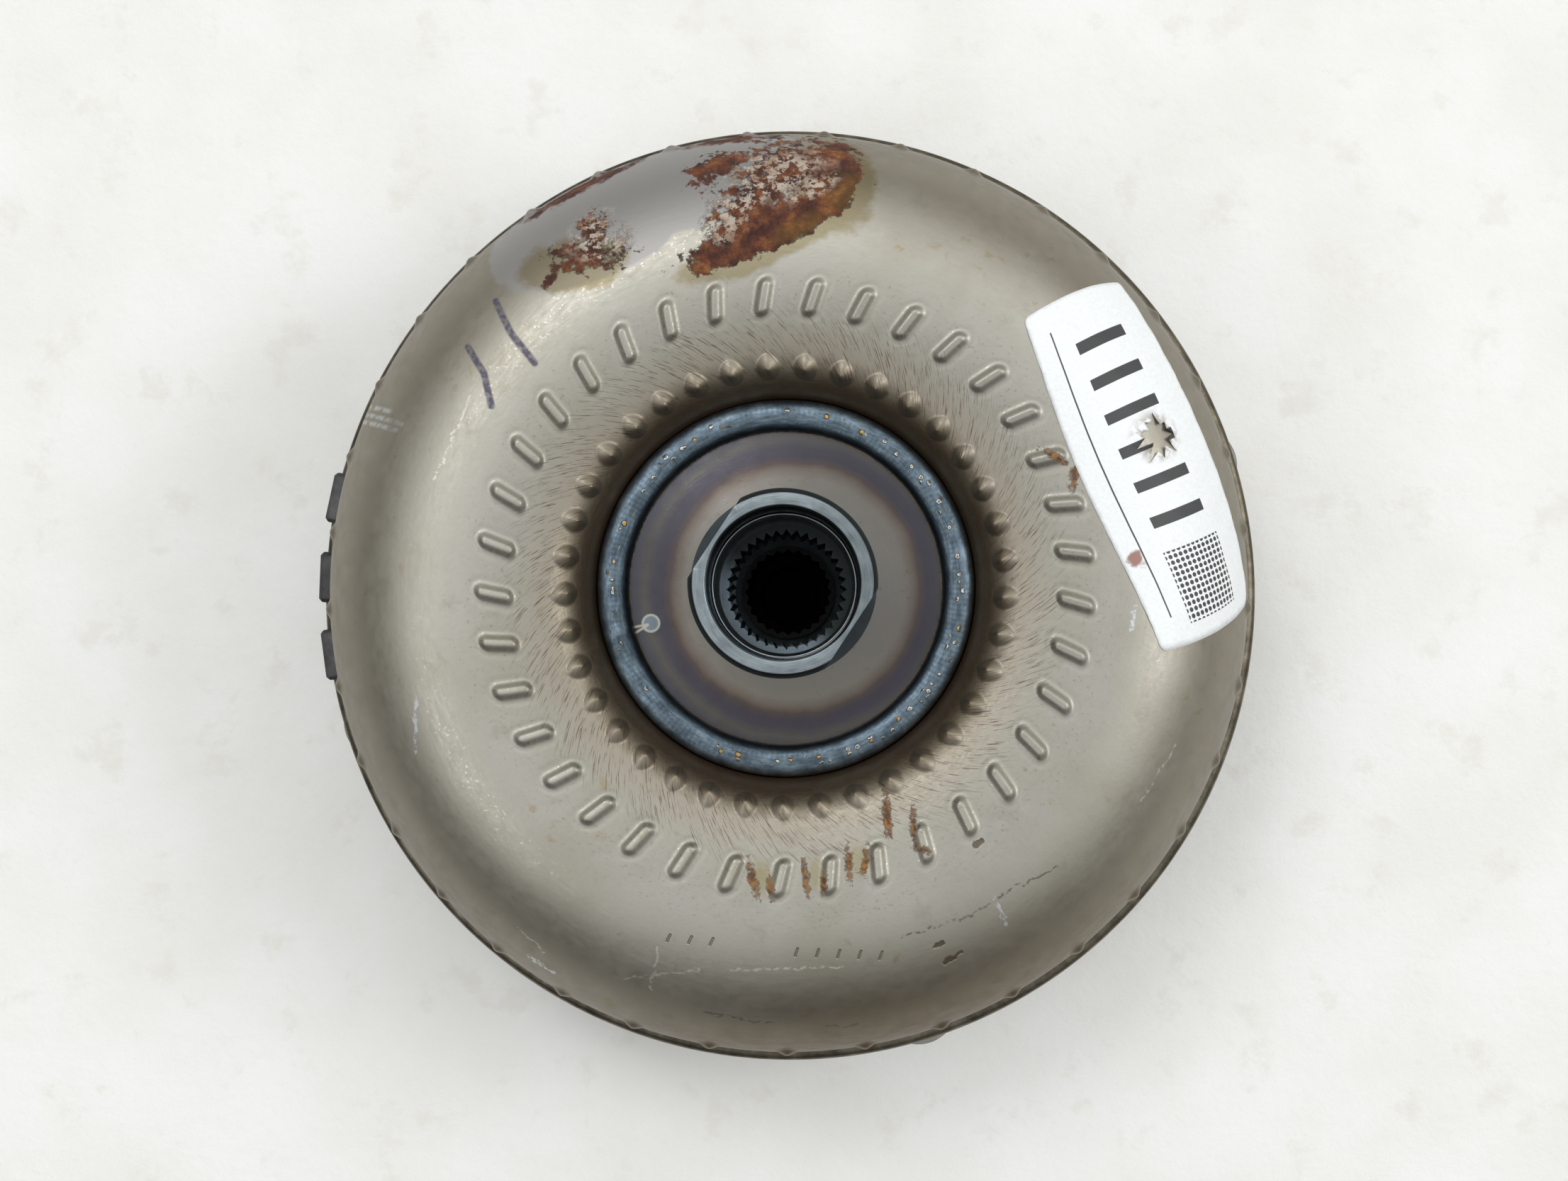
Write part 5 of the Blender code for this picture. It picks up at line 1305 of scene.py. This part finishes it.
# Painted shade: the inner toe of the hub's bead is darkened.
blue = at.coat(blue, "#3a4047", at.step(across_bead, 0.30, 0.06), in_hub, 0.45)
blue = at.coat(blue, "#8d7c66", at.step(across_bead, 0.95, 0.99), in_hub, 0.7)
frayed = at.vector("SCALE", at.noise(0.0009, 3.0, 0.5, output="Color"), Scale=0.0010)
cell_inputs = {
    "Vector": at.vector("ADD", frayed, at.point), "Scale": 1 / SLAG_CELL, "Randomness": 1.0
}
cells = at.add("TexVoronoi", cell_inputs, "Distance")
pick = at.add("SeparateColor", {0: at.add("TexVoronoi", cell_inputs, "Color")}, 0)
ridge = at.band(across_bead, (0.36, 0.46), (0.72, 0.60))
slag = at.product(at.step(cells, 0.36, 0.24), at.step(pick, 0.18, 0.22), ridge)
slag_tone = at.blend(at.step(cells, 0.14, 0.24), "#727f86", "#ddd6c6")
slag_tone = at.coat(slag_tone, "#b39058", at.step(pick, 0.80, 0.86))
aged = at.ramp(cloud, (0.35, "#504b40"), (0.55, "#6d675a"), (0.70, "#857f70"))
blue = at.blend(in_hub, aged, at.coat(blue, slag_tone, slag))
relief = at.bump(slag, 0.00025, at.bump(at.noise(0.0009, detail=4.0), 0.00004))
connect(shader, {"Base Color": blue, "Normal": relief})
print("weld steel:", len(at.tree.nodes), "nodes")

# %% [markdown]
# ## Turned and heat-tinted hub steel
#
# The hub is ground bar. Its flat flange took the heat of the weld, and steel shows its
# temper colours in rings: straw nearest the cool hub, then brown, violet and a dark
# slate beside the weld. The rings lie a little off the shaft, as the weld heated one side
# more. The tip and the journal stay a cool light grey with fine turning marks.

# %% Hub steel: flange and tip
hub_steel, at, shader = new_material("ground_hub_steel", 1.0, 0.30)
TINT_SHIFT = 0.0022
TINT_START = 0.022
TINT_END = 0.044
tint_radius = at.vector("LENGTH", at.vector("ADD", at.flat, (-TINT_SHIFT, 0.0, 0.0)))
tint = at.ramp(
    at.spread(at.shaken(tint_radius, 0.0022, 0.010, detail=4.0), TINT_START, TINT_END),
    (0.00, "#88857e"), (0.26, "#868179"), (0.36, "#776d64"), (0.43, "#5c524d"), (0.50, "#4f4b52"),
    (0.60, "#4f4d53"), (0.70, "#5c5955"), (0.80, "#4f4f54"), (1.00, "#484a4f"),
)
ground = at.grain(0.020, 0.00022)
tip = at.ramp(ground, (0.35, "#838d91"), (0.65, "#9ea8ac"))

# Painted shade: the flange's colour darkens towards one side of the shaft, and the tip's on its +X side.
FLANGE_DIM_DIRECTION = (0.35, 1.0, 0.0)
tip_dim_side = at.step(at.add("SeparateXYZ", {0: at.point}, "X"), 0.004, 0.020)
tint = at.coat(tint, "#2d2e33", at.facing(FLANGE_DIM_DIRECTION, -0.038, 0.004), 0.38)
tip = at.coat(tip, "#565e61", tip_dim_side, 0.40)
# Painted shade: the chamfer round the tip's rim is darkened. The ledge below the flats is darker too.
chamfer = at.product(
    at.step(at.radius, HUB_RADIUS - 0.0014, HUB_RADIUS - 0.0010),
    at.step(at.height, hub_high.z - 0.0022, hub_high.z - 0.0016),
)
on_ledge = at.step(at.height, ledge + 0.0008, ledge + 0.0002)
tip = at.coat(tip, "#3c4144", at.highest(chamfer, on_ledge))
on_flange = at.step(at.height, flange_top + 0.0006, flange_top + 0.0002)
metal = at.blend(on_flange, tip, tint)

# A dotted brown line of scale runs along the toe of the bead.
at_toe = at.step(at.radius, WELD_INNER - 0.0006, WELD_INNER - 0.0003)
metal = at.coat(metal, "#6a5b4c", at_toe, at.step(at.noise(0.0012), 0.42, 0.50), on_flange, 0.7)

# %% Hub steel: bore with painted shade and reflection, the oil drip and the shader
# The bore is darkened as painted shade, darkest towards the shaft. On the low side of the face
# beyond the spline a pale crescent is a painted reflection of the sky, as on a film of clean oil.
REFLECTION_SIDE = (-0.62, -0.78, 0.0)
painted_reflection = at.step(at.vector("DOT_PRODUCT", at.around, REFLECTION_SIDE), 0.00, 0.60)
bore_shade_and_reflection = at.blend(at.step(at.radius, 0.0124, 0.0134), "#0c0d0e", "#3c4344")
bore_shade_and_reflection = at.coat(bore_shade_and_reflection, "#8f9da7", painted_reflection, at.step(at.radius, 0.0146, 0.0150))
metal = at.coat(metal, bore_shade_and_reflection, at.step(at.radius, 0.0186, 0.0181), 0.94)

# A drop of oil has run off the weld onto the flange and dried to a pale rim with two tails.
DRIP_PLACE = (-0.0337, -0.0089, 0.0)
DRIP_RADIUS = 0.0022
TAILS = [((-34.5, -9.2), (-45.6, -11.4)), ((-34.5, -9.4), (-41.9, -14.0))]
drip_away = at.product(at.vector("DISTANCE", at.flat, DRIP_PLACE), 1 / DRIP_RADIUS)
drip = at.step(drip_away, 1.15, 0.95)
drip_rim = at.product(drip, at.step(drip_away, 0.72, 0.90))
metal = at.coat(metal, "#7f8f99", drip, 0.6, on_flange)
metal = at.coat(metal, "#b9b5a6", at.highest(drip_rim, marked(TAILS, 0.0006)), 0.65, on_flange)
metal = at.coat(metal, "#4a4238", at.step(at.noise(0.0022, detail=6.0, roughness=0.7), 0.62, 0.70), 0.30)
rough = at.spread(at.noise(0.004, detail=5.0), 0.3, 0.7, 0.26, 0.40)
relief = at.bump(ground, 0.000012, at.bump(at.noise(0.0006), 0.000006))
connect(shader, {"Base Color": metal, "Roughness": rough, "Normal": relief})
print("hub steel:", len(at.tree.nodes), "nodes")

# %% [markdown]
# ## The other finishes
#
# The pieces inside are turned, stamped, ground, cast or moulded. One recipe covers the
# metals: a base colour that drifts, a directional grain at the size of the tool marks and
# a roughness that varies with it. What differs is the colour, the direction of the grain
# and how coarse it is, so a table holds those.

# %% A recipe for worked metal
def worked_metal(name, colour, worn_colour, roughness, grain, spots=0.0, metallic=1.0,
                 spot_colour="#3b332b", bore_shade_radius=0.0):
    """A metal whose grain runs around the shaft; grain is (across, along) in metres.

    Within the given bore radius it is nearly black: painted shade of the deep bore.
    """
    material, at, shader = new_material(name, metallic, roughness)
    marks = at.grain(*grain)
    tone = at.blend(at.step(at.noise(0.012, detail=5.0, roughness=0.6), 0.35, 0.70), colour, worn_colour)
    tone = at.coat(tone, worn_colour, at.step(marks, 0.40, 0.65), 0.25)
    if spots:
        dirt = at.step(at.noise(0.0030, detail=7.0, roughness=0.7), 0.56, 0.68)
        tone = at.coat(tone, spot_colour, dirt, spots)
    # Painted shade: within the bore's radius the metal is nearly black.
    if bore_shade_radius:
        tone = at.coat(tone, "#08080a", at.step(at.radius, bore_shade_radius + 0.0010, bore_shade_radius))
    connect(shader, {
        "Base Color": tone,
        "Roughness": at.spread(marks, 0.3, 0.7, roughness - 0.06, roughness + 0.08),
        "Normal": at.bump(marks, 0.000018, at.bump(at.noise(0.0010, detail=4.0), 0.000015)),
    })
    return material


TURNED = (0.020, 0.0003)
ROLLED = (0.012, 0.0012)
CAST = (0.0012, 0.0012)
FINISHES = {
    "blade_steel": worked_metal("rolled_blade_steel", "#9b9a96", "#b3b2ad", 0.38, ROLLED, 0.15),
    "machined_steel": worked_metal(
        "machined_steel", "#8d8c88", "#a5a39d", 0.36, TURNED, 0.35, bore_shade_radius=0.0115),
    "bearing_steel": worked_metal("ground_bearing_steel", "#b4b6b8", "#c6c8c9", 0.20, TURNED, 0.10),
    "spring_steel": worked_metal("oil_tempered_spring_steel", "#4a4a4e", "#62605f", 0.34, ROLLED, 0.15),
    "cover_steel": worked_metal(
        "drawn_cover_steel", "#6e695e", "#7f796c", 0.48, ROLLED, 0.45, spot_colour="#5a4330"),
    "black_steel": worked_metal(
        "black_oxide_steel", "#39393b", "#605f5f", 0.50, CAST, 0.40, 0.7, "#6a665f"),
    "bush_bronze": worked_metal("bearing_bronze", "#949c9f", "#a9b0b1", 0.36, TURNED, 0.10),
    "cast_aluminium": worked_metal("die_cast_aluminium", "#a9abac", "#bcbebd", 0.50, CAST, 0.15),
    "seal_plastic": worked_metal("filled_seal_plastic", "#6a4827", "#7a5633", 0.50, TURNED, 0.1, 0.0),
    "clutch_lining": worked_metal(
        "paper_clutch_lining", "#4c3a24", "#6a5335", 0.90, CAST, 0.35, 0.0, "#2c2117"),
    "pressed_steel": pressed_steel,
    "weld_steel": weld_steel,
    "turned_steel": hub_steel,
}
print("finishes:", ", ".join(sorted(FINISHES)))

# %% [markdown]
# ## Label paper
#
# Coated paper is a dielectric with a soft gloss. Its print is only plain marks here: a row
# of thick strokes, a fine rule and a square of dots, placed in the paper's own
# coordinates. The edges of the tear and of the sheet have picked up grease.

# %% Label paper
label_paper, at, shader = new_material("coated_label_paper", 0.0, 0.52)
STROKE_PITCH = 0.0098
STROKE_FROM, STROKE_TO = 0.0028, 0.0058
STROKES_LONG, STROKES_HIGH = (0.0085, 0.0655), (0.0105, 0.0255)
RULE_LONG, RULE_HIGH = (0.006, 0.084), (0.0052, 0.0056)
DOTS_LONG, DOTS_HIGH = (0.0695, 0.0865), (0.0100, 0.0270)
DOT_PITCH = 0.00142
STAIN_PLACE = (0.0690, 0.0035)
PRINT_SOFT = 0.00008


def between(value, low, high):
    """1 between two bounds."""
    return at.band(value, (low - PRINT_SOFT, low + PRINT_SOFT), (high + PRINT_SOFT, high - PRINT_SOFT))


paper_xy = at.vector("SCALE", at.add("UVMap", uv_map="paper"), Scale=LABEL_LONG)
paper_u, paper_v = (at.add("SeparateXYZ", {0: paper_xy}, axis) for axis in "XY")
u_cell = at.math("MODULO", at.math("SUBTRACT", paper_u, STROKES_LONG[0]), STROKE_PITCH)
strokes = at.product(
    between(u_cell, STROKE_FROM, STROKE_TO), between(paper_u, *STROKES_LONG), between(paper_v, *STROKES_HIGH)
)
dots = at.add("TexVoronoi", {
    "Vector": at.vector("SCALE", paper_xy, Scale=1 / DOT_PITCH), "Scale": 1.0, "Randomness": 0.0,
}, "Distance", voronoi_dimensions="2D")
dot_mask = at.product(at.step(dots, 0.42, 0.34), between(paper_u, *DOTS_LONG), between(paper_v, *DOTS_HIGH))
rule = at.product(between(paper_v, *RULE_HIGH), between(paper_u, *RULE_LONG))
fibre = at.noise(0.0008, detail=4.0)
paper = at.blend(at.step(fibre, 0.35, 0.65), "#eef2f4", "#f5f8f9")
paper = at.coat(paper, "#cfc6b4", at.step(at.noise(0.010, detail=7.0, roughness=0.7), 0.58, 0.75), 0.25)
tear_away = at.vector("DISTANCE", paper_xy, (*TEAR_PLACE, 0.0))
tear_grime = at.step(at.noise(0.0024, detail=6.0), 0.40, 0.60)
paper = at.coat(paper, "#8d7c68", at.step(tear_away, 0.0082, 0.0038), tear_grime, 0.75)
stain_edge = at.shaken(at.vector("DISTANCE", paper_xy, (*STAIN_PLACE, 0.0)), 0.0040, 0.0020, detail=6.0)
paper = at.coat(paper, "#8c4a33", at.step(stain_edge, 0.0026, 0.0012), 0.85)
paper = at.coat(paper, "#17181a", at.highest(strokes, dot_mask, rule), 0.95)
relief = at.bump(at.noise(0.0030), 0.00008, at.bump(fibre, 0.00001))
connect(shader, {"Base Color": paper, "Normal": relief})
label_mesh.materials.append(label_paper)
print("label paper:", len(at.tree.nodes), "nodes")

# %% [markdown]
# ## Putting the finishes on
#
# The record that came with the frame says which slot each piece belongs to, so every
# piece of the working model can be dressed in one loop. A finer mesh that stands for one
# of them takes the finish of the slot it was given.

# %% Finishes on every piece
for part in frame["record"]["subparts"]:
    node = frame["nodes"][part["node"]]
    node.data.materials.clear()
    node.data.materials.append(FINISHES[part["material_slot"]])
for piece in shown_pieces():
    if "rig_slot" in piece and piece["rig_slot"] in FINISHES:
        piece.data.materials.clear()
        piece.data.materials.append(FINISHES[piece["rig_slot"]])
